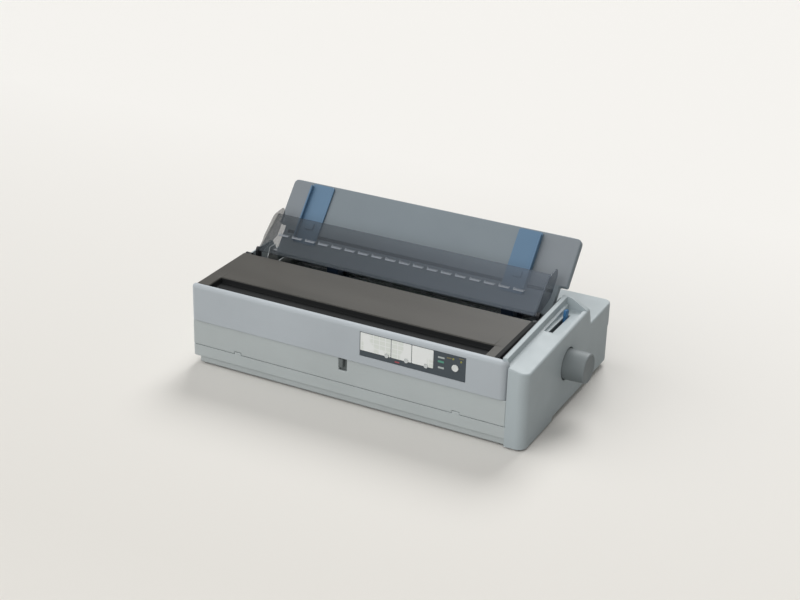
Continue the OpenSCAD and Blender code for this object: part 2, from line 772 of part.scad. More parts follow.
module printer_cover_pins() color(steel) placed() {
  rod_x(ear_a_left + 0.2, lug_a_left + lug_w, cover_axis_y, cover_axis_z, pin_r);
  rod_x(lug_a_right, ear_a_right + ear_w - 0.2, cover_axis_y, cover_axis_z, pin_r);
}

// A (y, z) point of the guide cover: s along the panel from its foot, n above its upper face
hood_foot = 8;
function hood_at(s, n) = [hood_lo_y + s * cos(hood_slope) - n * sin(hood_slope),
                          hood_lo_z + s * sin(hood_slope) + n * cos(hood_slope)];

module guide_cover() color(smoke) placed() difference() {
  union() {
    along_x(hood_x, hood_right)
      polygon([hood_at(-hood_foot, 0), hood_at(-hood_foot, -cover_t), hood_at(hood_len, -cover_t),
               hood_at(hood_len, 0)]);
    for (x = [hood_x, hood_right - cover_t]) {
      along_x(x, x + cover_t)
        polygon([hood_at(0, 0), hood_at(12, 0), hood_at(20, 3.5), hood_at(hood_len - 8, 7),
                 [hood_lo_y + 76, hood_lo_z + 45], [hood_lo_y + 79, hood_lo_z + 40],
                 [hood_lo_y + 79, hood_lo_z + 30], [hood_lo_y + 54, hood_lo_z + 1],
                 [hood_axis_y + 12, hood_axis_z - 2], [hood_axis_y, hood_axis_z - 3]]);
      rod_x(x, x + cover_t, hood_axis_y, hood_axis_z, lug_r);
    }
  }
  for (x = [hood_x, hood_right - cover_t])
    rod_x(x - over, x + cover_t + over, hood_axis_y, hood_axis_z, pin_r + run);
}

module guide_cover_pins() color(steel) placed() {
  rod_x(ear_b_left + 0.2, hood_x + cover_t + 0.5, hood_axis_y, hood_axis_z, pin_r);
  rod_x(hood_right - cover_t - 0.5, ear_b_right + ear_w - 0.2, hood_axis_y, hood_axis_z, pin_r);
}

// Pale scale strip on the guide cover's panel
module guide_scale() color("#8f9598") placed()
  along_x(hood_x + 24, hood_right - 24)
    polygon([hood_at(scale_s, 0), hood_at(scale_s + 5, 0), hood_at(scale_s + 5, 0.6), hood_at(scale_s, 0.6)]);
scale_s = 30;

// Sheet guide ------------------------------------------------------------------------------------

// Lean what is drawn upright round the sheet guide's pivot
module leaned() translate([0, guide_axis_y, guide_axis_z]) rotate([-guide_lean, 0, 0]) children();

// Outline of the sheet guide in (x, s), set in by a distance: a wide top on a narrower foot
module guide_outline(i) polygon(concat(
  [[guide_low_left + i, -4 + i], [guide_low_right - i, -4 + i], [guide_low_right - i, guide_step + i],
   [guide_right - i, guide_step + i]],
  arc(guide_right - 8, guide_len - 8, 8 - i, 0, 90),
  arc(guide_left + 8, guide_len - 8, 8 - i, 90, 180),
  [[guide_left + i, guide_step + i], [guide_low_left + i, guide_step + i]]));

module sheet_guide() color("#8e9699") placed() leaned() difference() {
  union() {
    difference() {
      along_y(guide_front, guide_front + guide_t) guide_outline(0);
      along_y(guide_front + guide_skin, guide_front + guide_t + 1) guide_outline(2.5);
    }
    for (x = [guide_low_left, guide_low_right - 8]) rod_x(x, x + 8, 0, 0, 4);
  }
  for (x = [guide_low_left, guide_low_right - 8]) rod_x(x - over, x + 9, 0, 0, guide_pin_r - 0.5 + run);
  // slot in which the edge guides slide
  box([guide_low_left + 8, guide_front - over, rail_s],
      [guide_low_right - 8, guide_front + guide_skin + over, rail_s + rail_h]);
}

module sheet_guide_pins() color(steel) placed() leaned() {
  rod_x(frame_left_x - over, guide_low_left - gap, 0, 0, guide_pin_r);
  rod_x(guide_low_left - gap - eps, guide_low_left + 8, 0, 0, guide_pin_r - 0.5);
  rod_x(guide_low_right - 8, guide_low_right + gap + eps, 0, 0, guide_pin_r - 0.5);
  rod_x(guide_low_right + gap, frame_right_x + frame_t, 0, 0, guide_pin_r);
}

// Edge guide from x: a plate on the guide's face, a fence along its outer side, and a foot in the slot
module edge_guide(x, fence_x) {
  face = guide_front - gap;
  box([x, face - 3, 20], [x + edge_w, face, guide_len - 3]);
  box([fence_x, face - 10, 20], [fence_x + 3, face - 3 + eps, guide_len - 8]);
  box([x + edge_w / 2 - 7, face - eps, rail_s + gap],
      [x + edge_w / 2 + 7, guide_front + guide_skin + gap + eps, rail_s + rail_h - gap]);
  box([x + edge_w / 2 - 9, guide_front + guide_skin + gap, rail_s - 5],
      [x + edge_w / 2 + 9, guide_front + guide_skin + gap + 2, rail_s + rail_h + 5]);
}

module edge_guide_left() color(blue) placed() leaned() edge_guide(edge_left_x, edge_left_x);
module edge_guide_right() color(blue) placed() leaned() edge_guide(edge_right_x, edge_right_x + edge_w - 3);

// Release lever ----------------------------------------------------------------------------------

module release_lever() color(blue) placed()
  translate([lever_x, lever_y, lever_z]) rotate([-lever_lean, 0, 0]) difference() {
    union() {
      rod_x(0, lever_t, 0, 0, 8);
      box([0, -4, 0], [lever_t, 4, lever_len]);
      box([0, -7, lever_len - 10], [lever_t, 6, lever_len]);
    }
    rod_x(-over, lever_t + over, 0, 0, lever_pin_r + run);
  }

module release_lever_shaft() color(steel) placed() {
  rod_x(frame_right_x, lever_x + lever_t + 3, lever_y, lever_z, lever_pin_r);
  rod_x(lever_x + lever_t + gap, lever_x + lever_t + 2, lever_y, lever_z, lever_pin_r + 1.5);
  rod_x(frame_right_x + frame_t, lever_x - gap, lever_y, lever_z, lever_pin_r + 1.5);
}

// Platen and its drive ---------------------------------------------------------------------------

knob_x0 = case_w - wall - 3;
knob_len = case_w + knob_out - knob_x0;
knob_round = 2.5;
knob_taper = 0.8;
knob_grip = 20;

module platen_roller() color(black) placed() difference() {
  rod_x(between_left + 4, frame_right_x - 4, platen_y, platen_z, platen_r);
  rod_x(between_left, frame_right_x, platen_y, platen_z, shaft_r + run);
}

module platen_shaft() color(steel) placed()
  rod_x(gear_x - over, knob_x0 + knob_grip, platen_y, platen_z, shaft_r);

module platen_bushes() color("#b08d57") placed()
  for (x = [frame_left_x, frame_right_x]) difference() {
    union() {
      rod_x(x, x + frame_t, platen_y, platen_z, bush_r - run);
      rod_x(x + frame_t * bush_side(x), x + frame_t * bush_side(x) + over, platen_y, platen_z, bush_r + 1);
    }
    rod_x(x - 3, x + frame_t + 3, platen_y, platen_z, shaft_r + run);
  }
// The bush's flange lies on the inner face of its frame
function bush_side(x) = x == frame_left_x ? 1 : -1 / frame_t;

module platen_knob() color("#6e7376") placed() difference() {
  translate([knob_x0, platen_y, platen_z]) rotate([90, 0, 90]) rotate_extrude()
    polygon(concat([[0, 0], [knob_r, 0], [knob_r - knob_taper, knob_len - knob_round]],
                   arc(knob_r - knob_taper - knob_round, knob_len - knob_round, knob_round, 0, 90),
                   [[0, knob_len]]));
  rod_x(knob_x0 - over, knob_x0 + knob_grip + gap, platen_y, platen_z, shaft_r + run);
}

module platen_gear() color("#d8d4c4") placed() difference() {
  union() {
    translate([gear_x, platen_y, platen_z]) rotate([90, 0, 90]) linear_extrude(gear_w) spur(platen_teeth, 0);
    rod_x(gear_x, pulley_x + pulley_w, platen_y, platen_z, pulley_r - 2);
    rod_x(pulley_x, pulley_x + pulley_w, platen_y, platen_z, pulley_r);
  }
  rod_x(0, frame_left_x, platen_y, platen_z, shaft_r + run);
}

module idler_gear() color("#d8d4c4") placed() difference() {
  translate([gear_x, idler_y, idler_z]) rotate([90, 0, 90]) linear_extrude(gear_w)
    spur(idler_teeth, 180 / idler_teeth);
  rod_x(0, frame_left_x, idler_y, idler_z, stud_r + run);
}

module idler_stud() color(steel) placed() {
  rod_x(gear_x - 0.5, between_left, idler_y, idler_z, stud_r);
  rod_x(gear_x + gear_w + gap, frame_left_x, idler_y, idler_z, stud_r + 1.5);
  rod_x(gear_x - 1.7, gear_x - gap, idler_y, idler_z, stud_r + over);
}

module motor_pinion() color("#c8b060") placed() difference() {
  translate([gear_x, pinion_y, pinion_z]) rotate([90, 0, 90]) linear_extrude(gear_w) spur(pinion_teeth, 0);
  rod_x(0, frame_left_x, pinion_y, pinion_z, motor_shaft_r + run);
}

module feed_motor() color("#3a3d40") placed() {
  rod_x(between_left + 2, between_left + 30, pinion_y, pinion_z, motor_r);
  rod_x(between_left - frame_t - over, between_left + 3, pinion_y, pinion_z, motor_boss_r);
  rod_x(gear_x - 0.5, between_left + 3, pinion_y, pinion_z, motor_shaft_r);
  box([between_left, pinion_y - motor_r - 3, pinion_z - 14],
      [between_left + 2.5, pinion_y + motor_r + 3, pinion_z + 14]);
}

pan_r = platen_r + 1.5;

// Curved guide under the platen
module paper_pan() color(steel) placed() difference() {
  rod_x(between_left + gap, frame_right_x - gap, platen_y, platen_z, pan_r + 1.2);
  rod_x(0, case_w, platen_y, platen_z, pan_r);
  box([0, 0, platen_z - 9], [case_w, case_d, far]);
}

// Tractors ---------------------------------------------------------------------------------------

module tractor_shaft() color(steel) placed() {
  rod_x(pulley_x - 0.5, frame_right_x + frame_t + over, tractor_y, tractor_z, tractor_rod_r);
  box([between_left + gap, tractor_y - square_side / 2, tractor_z - square_side / 2],
      [frame_right_x - gap, tractor_y + square_side / 2, tractor_z + square_side / 2]);
}

module tractor_pulley() color("#d8d4c4") placed() difference() {
  rod_x(pulley_x, pulley_x + pulley_w, tractor_y, tractor_z, pulley_r);
  rod_x(0, frame_left_x, tractor_y, tractor_z, tractor_rod_r + run);
}

module tractor_belt() color(black) placed()
  translate([pulley_x + 0.2, platen_y, platen_z]) rotate([90, 0, 90]) linear_extrude(pulley_w - 0.4)
    difference() {
      belt_outline(tractor_y - platen_y, pulley_r + 1.5);
      belt_outline(tractor_y - platen_y, pulley_r + run);
    }

module tractor_rail() color(steel) placed()
  rod_x(frame_left_x, frame_right_x + frame_t + over,
        tractor_y + rail_dy, tractor_z + rail_dz, tractor_rod_r);

// Tractor body that slides on the square shaft and its rail, with its row of pins beside the lid
module tractor(x) difference() {
  union() {
    along_x(x, x + tractor_w)
      polygon([[tractor_y - tractor_front, tractor_z - tractor_h],
               [tractor_y + tractor_flat, tractor_z - tractor_h],
               [tractor_y + tractor_back, tractor_z - tractor_flat],
               [tractor_y + tractor_back, tractor_z + tractor_flat],
               [tractor_y + tractor_flat, tractor_z + tractor_h],
               [tractor_y - tractor_front, tractor_z + tractor_h]]);
    for (i = [0 : 3])
      translate([x + 6, tractor_y + pin_first + i * pin_pitch, tractor_z + tractor_h - over])
        cylinder(h = over + pin_proud, r = 1.8);
    // lid over the pin belt
    box([x + 12, tractor_y - tractor_front + 2, tractor_z + tractor_h - over],
        [x + tractor_w, tractor_y + tractor_flat - 2, tractor_z + tractor_h + pin_proud]);
  }
  // window in which the square shaft turns
  box([x - over, tractor_y - window / 2, tractor_z - window / 2],
      [x + tractor_w + over, tractor_y + window / 2, tractor_z + window / 2]);
  rod_x(x - over, x + tractor_w + over, tractor_y + rail_dy, tractor_z + rail_dz, tractor_rod_r + run);
}
tractor_front = 26;
tractor_back = 16;
tractor_flat = 10;
tractor_h = 16;
pin_first = -20;
pin_pitch = 10.16;
pin_proud = 2;

module tractor_left() color("#3a4d66") placed() tractor(tractor_left_x);
module tractor_right() color("#3a4d66") placed() tractor(tractor_right_x);

// Carriage ---------------------------------------------------------------------------------------

module guide_rod() color(steel) placed()
  rod_x(frame_left_x - over, frame_right_x + frame_t + over, rod_y, rod_z, rod_r);

module guide_rail() color(steel) placed()
  along_x(between_left, frame_right_x)
    polygon([[rail_front, rail_z - 11], [rail_front + rail_t, rail_z - 11],
             [rail_front + rail_t, rail_z - rail_t],
             [rail_front + 14, rail_z - rail_t], [rail_front + 14, rail_z], [rail_front, rail_z]]);

module carriage() color(black) placed() difference() {
  union() {
    box([carriage_x - carriage_w / 2, rail_front + 17, carriage_low],
        [carriage_x + carriage_w / 2, rod_y + 21, carriage_top]);
    // shoe on the rail
    box([carriage_x - 20, rail_front + 3, rail_z + gap], [carriage_x + 20, rail_front + 18, carriage_top]);
    // lug that grips the belt
    box([carriage_x - 6, belt_y - belt_r - 5, belt_z - 0.5],
        [carriage_x + 6, belt_y - belt_r + 4, carriage_low + eps]);
  }
  rod_x(0, case_w, rod_y, rod_z, rod_r + run);
  box([carriage_x - 7, belt_y - belt_r - belt_t - 0.4, 0],
      [carriage_x + 7, belt_y - belt_r + 0.2, belt_z + belt_h + 0.8]);
}

module print_head() color("#6a6e72") placed() {
  difference() {
    box([carriage_x - 15, rod_y - 21, carriage_top], [carriage_x + 15, rod_y + 29, carriage_top + 26]);
    for (i = [0 : 4])
      box([carriage_x - 16, rod_y - 18 + 7 * i, carriage_top + 8],
          [carriage_x + 16, rod_y - 15 + 7 * i, carriage_top + 27]);
  }
  box([carriage_x - 5, rod_y + 28, platen_z - 5], [carriage_x + 5, nose_y, platen_z + 5]);
}

tape_y = nose_y + 0.4;
arm_w = 16;
arm_left_x = between_left + 26;
arm_right_x = frame_right_x - 26 - arm_w;

module ribbon_cartridge() color(black) placed() {
  box([between_left + gap, 24, carriage_top + 26], [frame_right_x - gap, rail_front + 6, carriage_top + 42]);
  for (x = [arm_left_x, arm_right_x]) {
    box([x, rail_front + 5, carriage_top + 30], [x + arm_w, tape_y - over, carriage_top + 40]);
    box([x + 4, tape_y - 16, platen_z - 6], [x + arm_w - 4, tape_y, carriage_top + 31]);
  }
  winding_knob();
}

// Winding knob on the cartridge's lid
module winding_knob()
  translate([between_left + 60, 40, carriage_top + 42 - eps]) cylinder(h = 3, r = 8);

module ribbon_tape() color("#111111") placed()
  box([arm_left_x + 5, tape_y, platen_z - 5], [arm_right_x + arm_w - 5, tape_y + 0.3, platen_z + 5]);

module carriage_belt() color(black) placed()
  translate([belt_left_x, belt_y, belt_z + 0.4]) linear_extrude(belt_h - 0.8) difference() {
    belt_outline(belt_right_x - belt_left_x, belt_r + belt_t);
    belt_outline(belt_right_x - belt_left_x, belt_r + run);
  }

// Belt pulley at x, running on its spindle
module belt_pulley(x) difference() {
  translate([x, belt_y, belt_z]) cylinder(h = belt_h, r = belt_r);
  translate([x, belt_y, 0]) cylinder(h = far, r = spindle_r + run);
}

module drive_pulley() color("#c8b060") placed() belt_pulley(belt_left_x);
module idler_pulley() color("#d8d4c4") placed() belt_pulley(belt_right_x);

module carriage_motor() color("#3a3d40") placed() translate([belt_left_x, belt_y, base_top]) {
  cylinder(h = belt_z - base_top - gap, r = 17);
  cylinder(h = belt_z - base_top + belt_h + over, r = spindle_r);
}

// Electronics ------------------------------------------------------------------------------------

// Bracket of the belt idler, main board, power supply and data sockets, each its own solid
module rear_electronics() color("#2d5a3c") placed() {
  // belt idler bracket with its spindle
  box([belt_right_x - 14, belt_y - 14, base_top], [belt_right_x + 14, belt_y + 14, base_top + 3]);
  translate([belt_right_x, belt_y, base_top + 2]) cylinder(h = belt_z - base_top - 2 - gap, r = 5);
  translate([belt_right_x, belt_y, base_top + 2])
    cylinder(h = belt_z - base_top + belt_h - over, r = spindle_r);
  // main board on its spacers
  box([board_x0, board_front, base_top + spacer_h], [board_x1, case_d - 20, board_top]);
  for (x = [board_x0 + 10, board_x1 - 10]) for (y = [board_front + 8, case_d - 28])
    translate([x, y, base_top]) cylinder(h = spacer_h + eps, r = 4);
  for (c = chips)
    box([board_x0 + c[0], board_front + c[1], board_top - eps],
        [board_x0 + c[0] + c[2], board_front + c[1] + c[3], board_top + chip_h]);
  // power supply
  box([supply_x - supply_w, board_front, base_top], [supply_x, case_d - 24, base_top + supply_h]);
  // data sockets through the rear wall, standing on the main board
  for (x = socket_xs) {
    box([x, case_d - 26, board_top - eps], [x + socket_w, case_d - 15, socket_z + socket_h]);
    box([x, case_d - 15 - eps, socket_z], [x + socket_w, case_d - over, socket_z + socket_h]);
  }
}
board_front = pinion_y + motor_r + 8;
supply_x = inlet_x - 20;
supply_w = 150;
supply_h = 44;
board_x0 = 46;
board_x1 = supply_x - supply_w - 20;
chips = [[74, 30, 40, 30], [144, 34, 36, 16]];
spacer_h = 5;
board_top = base_top + spacer_h + board_t;
chip_h = 3.4;

module power_inlet() color(black) placed() difference() {
  union() {
    box([inlet_x + gap, case_d - inlet_depth, inlet_z + gap],
        [inlet_x + inlet_w - gap, case_d - 0.5, inlet_z + inlet_h - gap]);
    box([inlet_x - inlet_rim, case_d - wall - 2, inlet_z - inlet_rim],
        [inlet_x + inlet_w + inlet_rim, case_d - wall, inlet_z + inlet_h + inlet_rim]);
  }
  box([inlet_x + 3, case_d - 18, inlet_z + inlet_rim],
      [inlet_x + inlet_w - 3, case_d + over, inlet_z + inlet_h - inlet_rim]);
}

lower_case();
rubber_feet();
base_plate();
base_screws();
upper_case();
case_screws();
front_fascia();
control_panel();
panel_labels();
led_lenses();
control_board();
line_feed_button();
form_feed_button();
tear_off_button();
pause_button();
front_cover();
front_cover_pins();
front_latch();
side_frame_left();
side_frame_right();
hinge_frame();
printer_cover();
printer_cover_pins();
guide_cover();
guide_cover_pins();
guide_scale();
sheet_guide();
sheet_guide_pins();
edge_guide_left();
edge_guide_right();
release_lever();
release_lever_shaft();
platen_roller();
platen_shaft();
platen_bushes();
platen_knob();
platen_gear();
idler_gear();
idler_stud();
motor_pinion();
feed_motor();
paper_pan();
tractor_shaft();
tractor_pulley();
tractor_belt();
tractor_rail();
tractor_left();
tractor_right();
guide_rod();
guide_rail();
carriage();
print_head();
ribbon_cartridge();
ribbon_tape();
carriage_belt();
drive_pulley();
carriage_motor();
idler_pulley();
rear_electronics();
power_inlet();
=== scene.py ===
import json

import bmesh
import bpy
import numpy as np
from mathutils import Matrix


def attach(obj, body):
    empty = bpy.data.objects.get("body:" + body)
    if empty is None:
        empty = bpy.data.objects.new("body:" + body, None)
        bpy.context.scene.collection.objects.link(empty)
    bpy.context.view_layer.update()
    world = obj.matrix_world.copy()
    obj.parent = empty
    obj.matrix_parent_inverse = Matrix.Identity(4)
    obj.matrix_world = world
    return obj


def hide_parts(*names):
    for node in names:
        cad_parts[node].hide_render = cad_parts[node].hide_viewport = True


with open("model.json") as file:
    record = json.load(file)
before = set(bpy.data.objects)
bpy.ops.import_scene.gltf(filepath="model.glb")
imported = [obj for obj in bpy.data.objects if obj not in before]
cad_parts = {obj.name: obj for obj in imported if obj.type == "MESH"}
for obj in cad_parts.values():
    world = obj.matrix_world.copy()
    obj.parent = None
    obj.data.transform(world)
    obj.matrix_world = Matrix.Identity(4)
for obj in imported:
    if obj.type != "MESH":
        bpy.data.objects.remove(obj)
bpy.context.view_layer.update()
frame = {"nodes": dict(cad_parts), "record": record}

# Sizes in millimetres, from the case's front left corner at floor level: X right, Y rear, Z up.
# CORNER is where the shared frame's origin lies in them ---------------------------------------------
CORNER = np.array([313.0, 175.5, 0.0])
CASE_W, CASE_D, CASE_H = 590.0, 350.0, 145.0
SEAM_X = 558.0
RIDGE_X0, RIDGE_X1 = 546.0, 554.0
TILT = np.radians(2.87)
DECK_H, DECK_Y, DECK_FRONT = 112.0, 255.0, 264.0
DECK_RISE, DECK_RUN = 3, 96
GUSSET_X, GUSSET_Y, GUSSET_DROP, GUSSET_W, END_SLOPE = RIDGE_X1 + 7, 236.0, 17, 28.2, 3.1
RIDGE_REAR_Z = CASE_H + GUSSET_Y * np.tan(TILT)
FRONT_Y, FRONT_R, REAR_Y, REAR_R = 16.0, 14.0, CASE_D - 12, 12.0
TRAY_H, SKIRT_H, LIP_H = 60.0, 14.0, 34.5
EAR_XS, EAR_W = (80.0, SEAM_X - 88), 12
FASCIA_LOW, FASCIA_D, FASCIA_TOP = 79.0, 9.0, 141.5
COVER_X0, COVER_X1, COVER_Y0, COVER_Y1 = 4.0, 538.0, 9.8, 152.0
SCOOP_Y = COVER_Y0 + 40.0
COVER_TOP, COVER_RISE = 140.6, 2.6
# Width of the painted shade strip along the printer cover's right edge
SHADE_STRIP = 8.0
HOOD_X0, HOOD_X1, HOOD_Y, HOOD_Z, HOOD_LEN, HOOD_FOOT = 22.0, 530.0, 171.0, 151.0, 71.0, 8.0
HOOD_SLOPE = np.radians(35.5)
GUIDE_Y, GUIDE_Z, GUIDE_LEN = 217.0, 128.0, 131.0
LEAN = np.radians(40.0)
PLATEN_Y, PLATEN_Z, KNOB_HOLE_R = 163.0, 80.0, 27.0
PANEL_X, PANEL_Z, PANEL_W, PANEL_H = 311.0, 93.0, 180.0, 41.0
PLATE_Y = 0.6
BUTTON_XS = np.array([358.0, 391.5, 425.0])
BUTTON_Z, BUTTON_R = 104.0, 3.5
PAUSE_X, PAUSE_Z, PAUSE_R = 473.5, 113.0, 5.5
# The least cut at an eased corner, and the distance in metres within which points are welded
LEAST_CUT, WELD = 0.06, 0.00001


# Shapes ---------------------------------------------------------------------------------------------

def rect(x0, y0, x1, y1):
    """Corners of a rectangle, from (x0, y0) round by (x1, y0)."""
    return np.array([[x0, y0], [x1, y0], [x1, y1], [x0, y1]], float)


def ease(v):
    """3v^2 - 2v^3 of v held between 0 and 1."""
    v = np.clip(v, 0, 1)
    return v * v * (3 - 2 * v)


def arc(cx, cy, r, a0, a1, n=8):
    """Points of a circle: centre + r * (cos t, sin t), t from a0 to a1 degrees."""
    t = np.radians(np.linspace(a0, a1, n))
    return np.c_[cx + r * np.cos(t), cy + r * np.sin(t)]


def eased(points, cut, n=6):
    """Outline for each inset d: the polygon moved in, and each corner p made (1-s)^2 a + 2s(1-s) p + s^2 b.

    a and b lie on the two sides, cut - d tan(turn / 2) away from p.
    """
    p = np.asarray(points, float)
    cut = np.broadcast_to(np.asarray(cut, float), (len(p),))
    if not np.array_equal(counter_clockwise(p), p):
        p, cut = p[::-1], cut[::-1]
    s = np.linspace(0, 1, n)[None, :, None]

    def at(d):
        q = inset(p, d)
        back, on = np.roll(q, 1, 0) - q, np.roll(q, -1, 0) - q
        back, on = (v / np.linalg.norm(v, axis=1)[:, None] for v in (back, on))
        half_turn = (on[:, 0] * back[:, 1] - on[:, 1] * back[:, 0]) / (1 - np.sum(back * on, axis=1))
        reach = np.maximum(cut - d * half_turn, LEAST_CUT)[:, None]
        a, b = (q + back * reach)[:, None], (q + on * reach)[:, None]
        return ((1 - s) ** 2 * a + 2 * s * (1 - s) * q[:, None] + s ** 2 * b).reshape(-1, 2)

    return at


def outlined(path, closed=True):
    """An outline as a function of the inset, whether it is one already or a row of points."""
    return path if callable(path) else lambda d: inset(path, d, closed)


def counter_clockwise(loop):
    """The loop, turned round if its signed area is negative."""
    x, y = loop.T
    area = np.sum(x * np.roll(y, -1) - y * np.roll(x, -1))
    return loop if area > 0 else loop[::-1]


def distinct(loop):
    """The loop without points that repeat the one before."""
    return loop[np.linalg.norm(loop - np.roll(loop, 1, 0), axis=1) > 1e-4]


def inset(loop, d, closed=True):
    """Each point moved inwards by d: p + d (m + n) / (1 + m.n), m and n being its sides' inward normals."""
    side = np.roll(loop, -1, 0) - loop
    side /= np.maximum(np.linalg.norm(side, axis=1)[:, None], 1e-9)
    n = np.c_[-side[:, 1], side[:, 0]]
    m = np.roll(n, 1, 0)
    if not closed:
        n[-1], m[0] = n[-2], n[0]
    return loop + d * (m + n) / (1 + np.sum(m * n, axis=1))[:, None]


def quads(n, m, wrap=False):
    """Faces between n rows of m points: (i, j), (i, j+1), (i+1, j+1), (i+1, j)."""
    i = np.arange(n - 1)[:, None]
    j = np.arange(m if wrap else m - 1)[None, :]
    a, b = i * m + j, i * m + (j + 1) % m
    return np.stack([a, b, b + m, a + m], -1).reshape(-1, 4)


# Which of a plate's two columns across and one along goes to X, Y and Z, for each axis it can lie along
ORDER = {"x": [2, 0, 1], "y": [0, 2, 1], "z": [0, 1, 2]}


def rim(lo, hi, r, k=3, hold=0.3):
    """(inset, height) of the rings round a plate's edges: r(1 - sin t), lo + r(1 - cos t), and mirrored."""
    r = min(r, 0.4 * (hi - lo))
    hold = min(hold, 0.08 * (hi - lo))
    t = np.linspace(0, np.pi / 2, k + 1)
    low = np.c_[r * (1 - np.sin(t)), lo + r * (1 - np.cos(t))]
    low = np.vstack([[r + hold, lo], low, [0, lo + r + hold]])
    return np.vstack([low, np.c_[low[::-1, 0], hi + lo - low[::-1, 1]]])


def slab(outline, lo, hi, r=0.8, axis="z", k=3):
    """Plate: a closed outline carried along an axis from lo to hi, its edges rounded by quarter circles."""
    if not callable(outline):
        outline = distinct(counter_clockwise(np.asarray(outline, float)))
    rings = rim(lo, hi, r, k)
    at = outlined(outline)
    n = len(at(0.0))
    points = np.vstack([np.c_[at(d), np.full(n, h)] for d, h in rings])
    faces = quads(len(rings), n, True).tolist()
    faces += [list(range(n)), list(range(len(points) - n, len(points)))]
    return points[:, ORDER[axis]], faces


def turned(profile, centre, n=72, axis="x"):
    """Turned part: (a, r) of the profile goes to centre + a along the axis + r (cos t, sin t) across it."""
    a, r = np.asarray(profile, float).T
    t = np.linspace(0, 2 * np.pi, n, endpoint=False)
    ring = np.stack([r[:, None] * np.cos(t), r[:, None] * np.sin(t), np.repeat(a[:, None], n, 1)], -1)
    points = ring.reshape(-1, 3)[:, ORDER[axis]] + np.asarray(centre, float)
    faces = quads(len(a), n, True).tolist()
    faces += [list(range(n)), list(range(len(points) - n, len(points)))]
    return points, faces


def field(x, y, z):
    """Surface over a grid: point (i, j) is (x, y, z)[i, j]."""
    x, y, z = np.broadcast_arrays(x, y, z)
    return np.stack([x, y, z], -1).reshape(-1, 3), quads(*x.shape).tolist()


def carried(path, rings, closed, caps=(True, True)):
    """Wall carried round a plan: ring (d, z) is the plan inset by d at height z; caps close the end rings."""
    at = outlined(path, closed)
    n = len(at(0.0))
    points = np.vstack([np.c_[at(d), np.broadcast_to(z, n)] for d, z in rings])
    faces = quads(len(rings), n, closed).tolist()
    if caps[0]:
        faces.append(list(range(n)))
    if caps[1]:
        faces.append(list(range(len(points) - n, len(points))))
    return points, faces


def opened(shell, *holes):
    """The shell without the faces whose centre lies in a hole, given as {axis: (low, high)}."""
    points, faces = shell
    centres = np.array([points[face].mean(0) for face in faces])
    gone = np.zeros(len(faces), bool)
    for hole in holes:
        gone |= np.all([(centres[:, a] > lo) & (centres[:, a] < hi) for a, (lo, hi) in hole.items()], axis=0)
    return points, [face for face, out in zip(faces, gone) if not out]


def moved(shell, place):
    """A shell whose points have gone through a function of their array."""
    return place(shell[0]), shell[1]


def frame_x(x):
    """An X from the case's left, in millimetres, as the shared frame's X in metres."""
    return (x - CORNER[0]) / 1000


def lean(p):
    """Upright (x, n, s) of the sheet guide turned back by the lean angle round its pivot."""
    x, n, s = p.T
    c, d = np.cos(LEAN), np.sin(LEAN)
    return np.c_[x, GUIDE_Y + n * c + s * d, GUIDE_Z - n * d + s * c]


def on_hood(x, s, n):
    """Points on the guide cover: s up its slope from the foot, n above its face."""
    c, d = np.cos(HOOD_SLOPE), np.sin(HOOD_SLOPE)
    return np.stack(np.broadcast_arrays(x, HOOD_Y + s * c - n * d, HOOD_Z + s * d + n * c), -1)


# Materials ------------------------------------------------------------------------------------------

def srgb(r, g, b):
    """Linear colour of a colour read off a screen, 0 to 255."""
    c = np.array([r, g, b]) / 255
    return tuple(np.where(c <= 0.04045, c / 12.92, ((c + 0.055) / 1.055) ** 2.4)) + (1.0,)


def maths(operation, swapped=False):
    """A method of Wire that adds a Math node, with its two sides swapped for a reflected operator."""
    def method(self, other):
        a, b = (other, self) if swapped else (self, other)
        return self.finish.node("ShaderNodeMath", {"operation": operation}, {0: a, 1: b})

    return method


class Wire:
    """A socket that maths can be written with."""

    def __init__(self, finish, socket):
        self.finish, self.socket = finish, socket

    __add__ = __radd__ = maths("ADD")
    __mul__ = __rmul__ = maths("MULTIPLY")
    __sub__, __rsub__ = maths("SUBTRACT"), maths("SUBTRACT", True)
    __gt__, __lt__ = maths("GREATER_THAN"), maths("LESS_THAN")
    __mod__ = maths("FLOORED_MODULO")


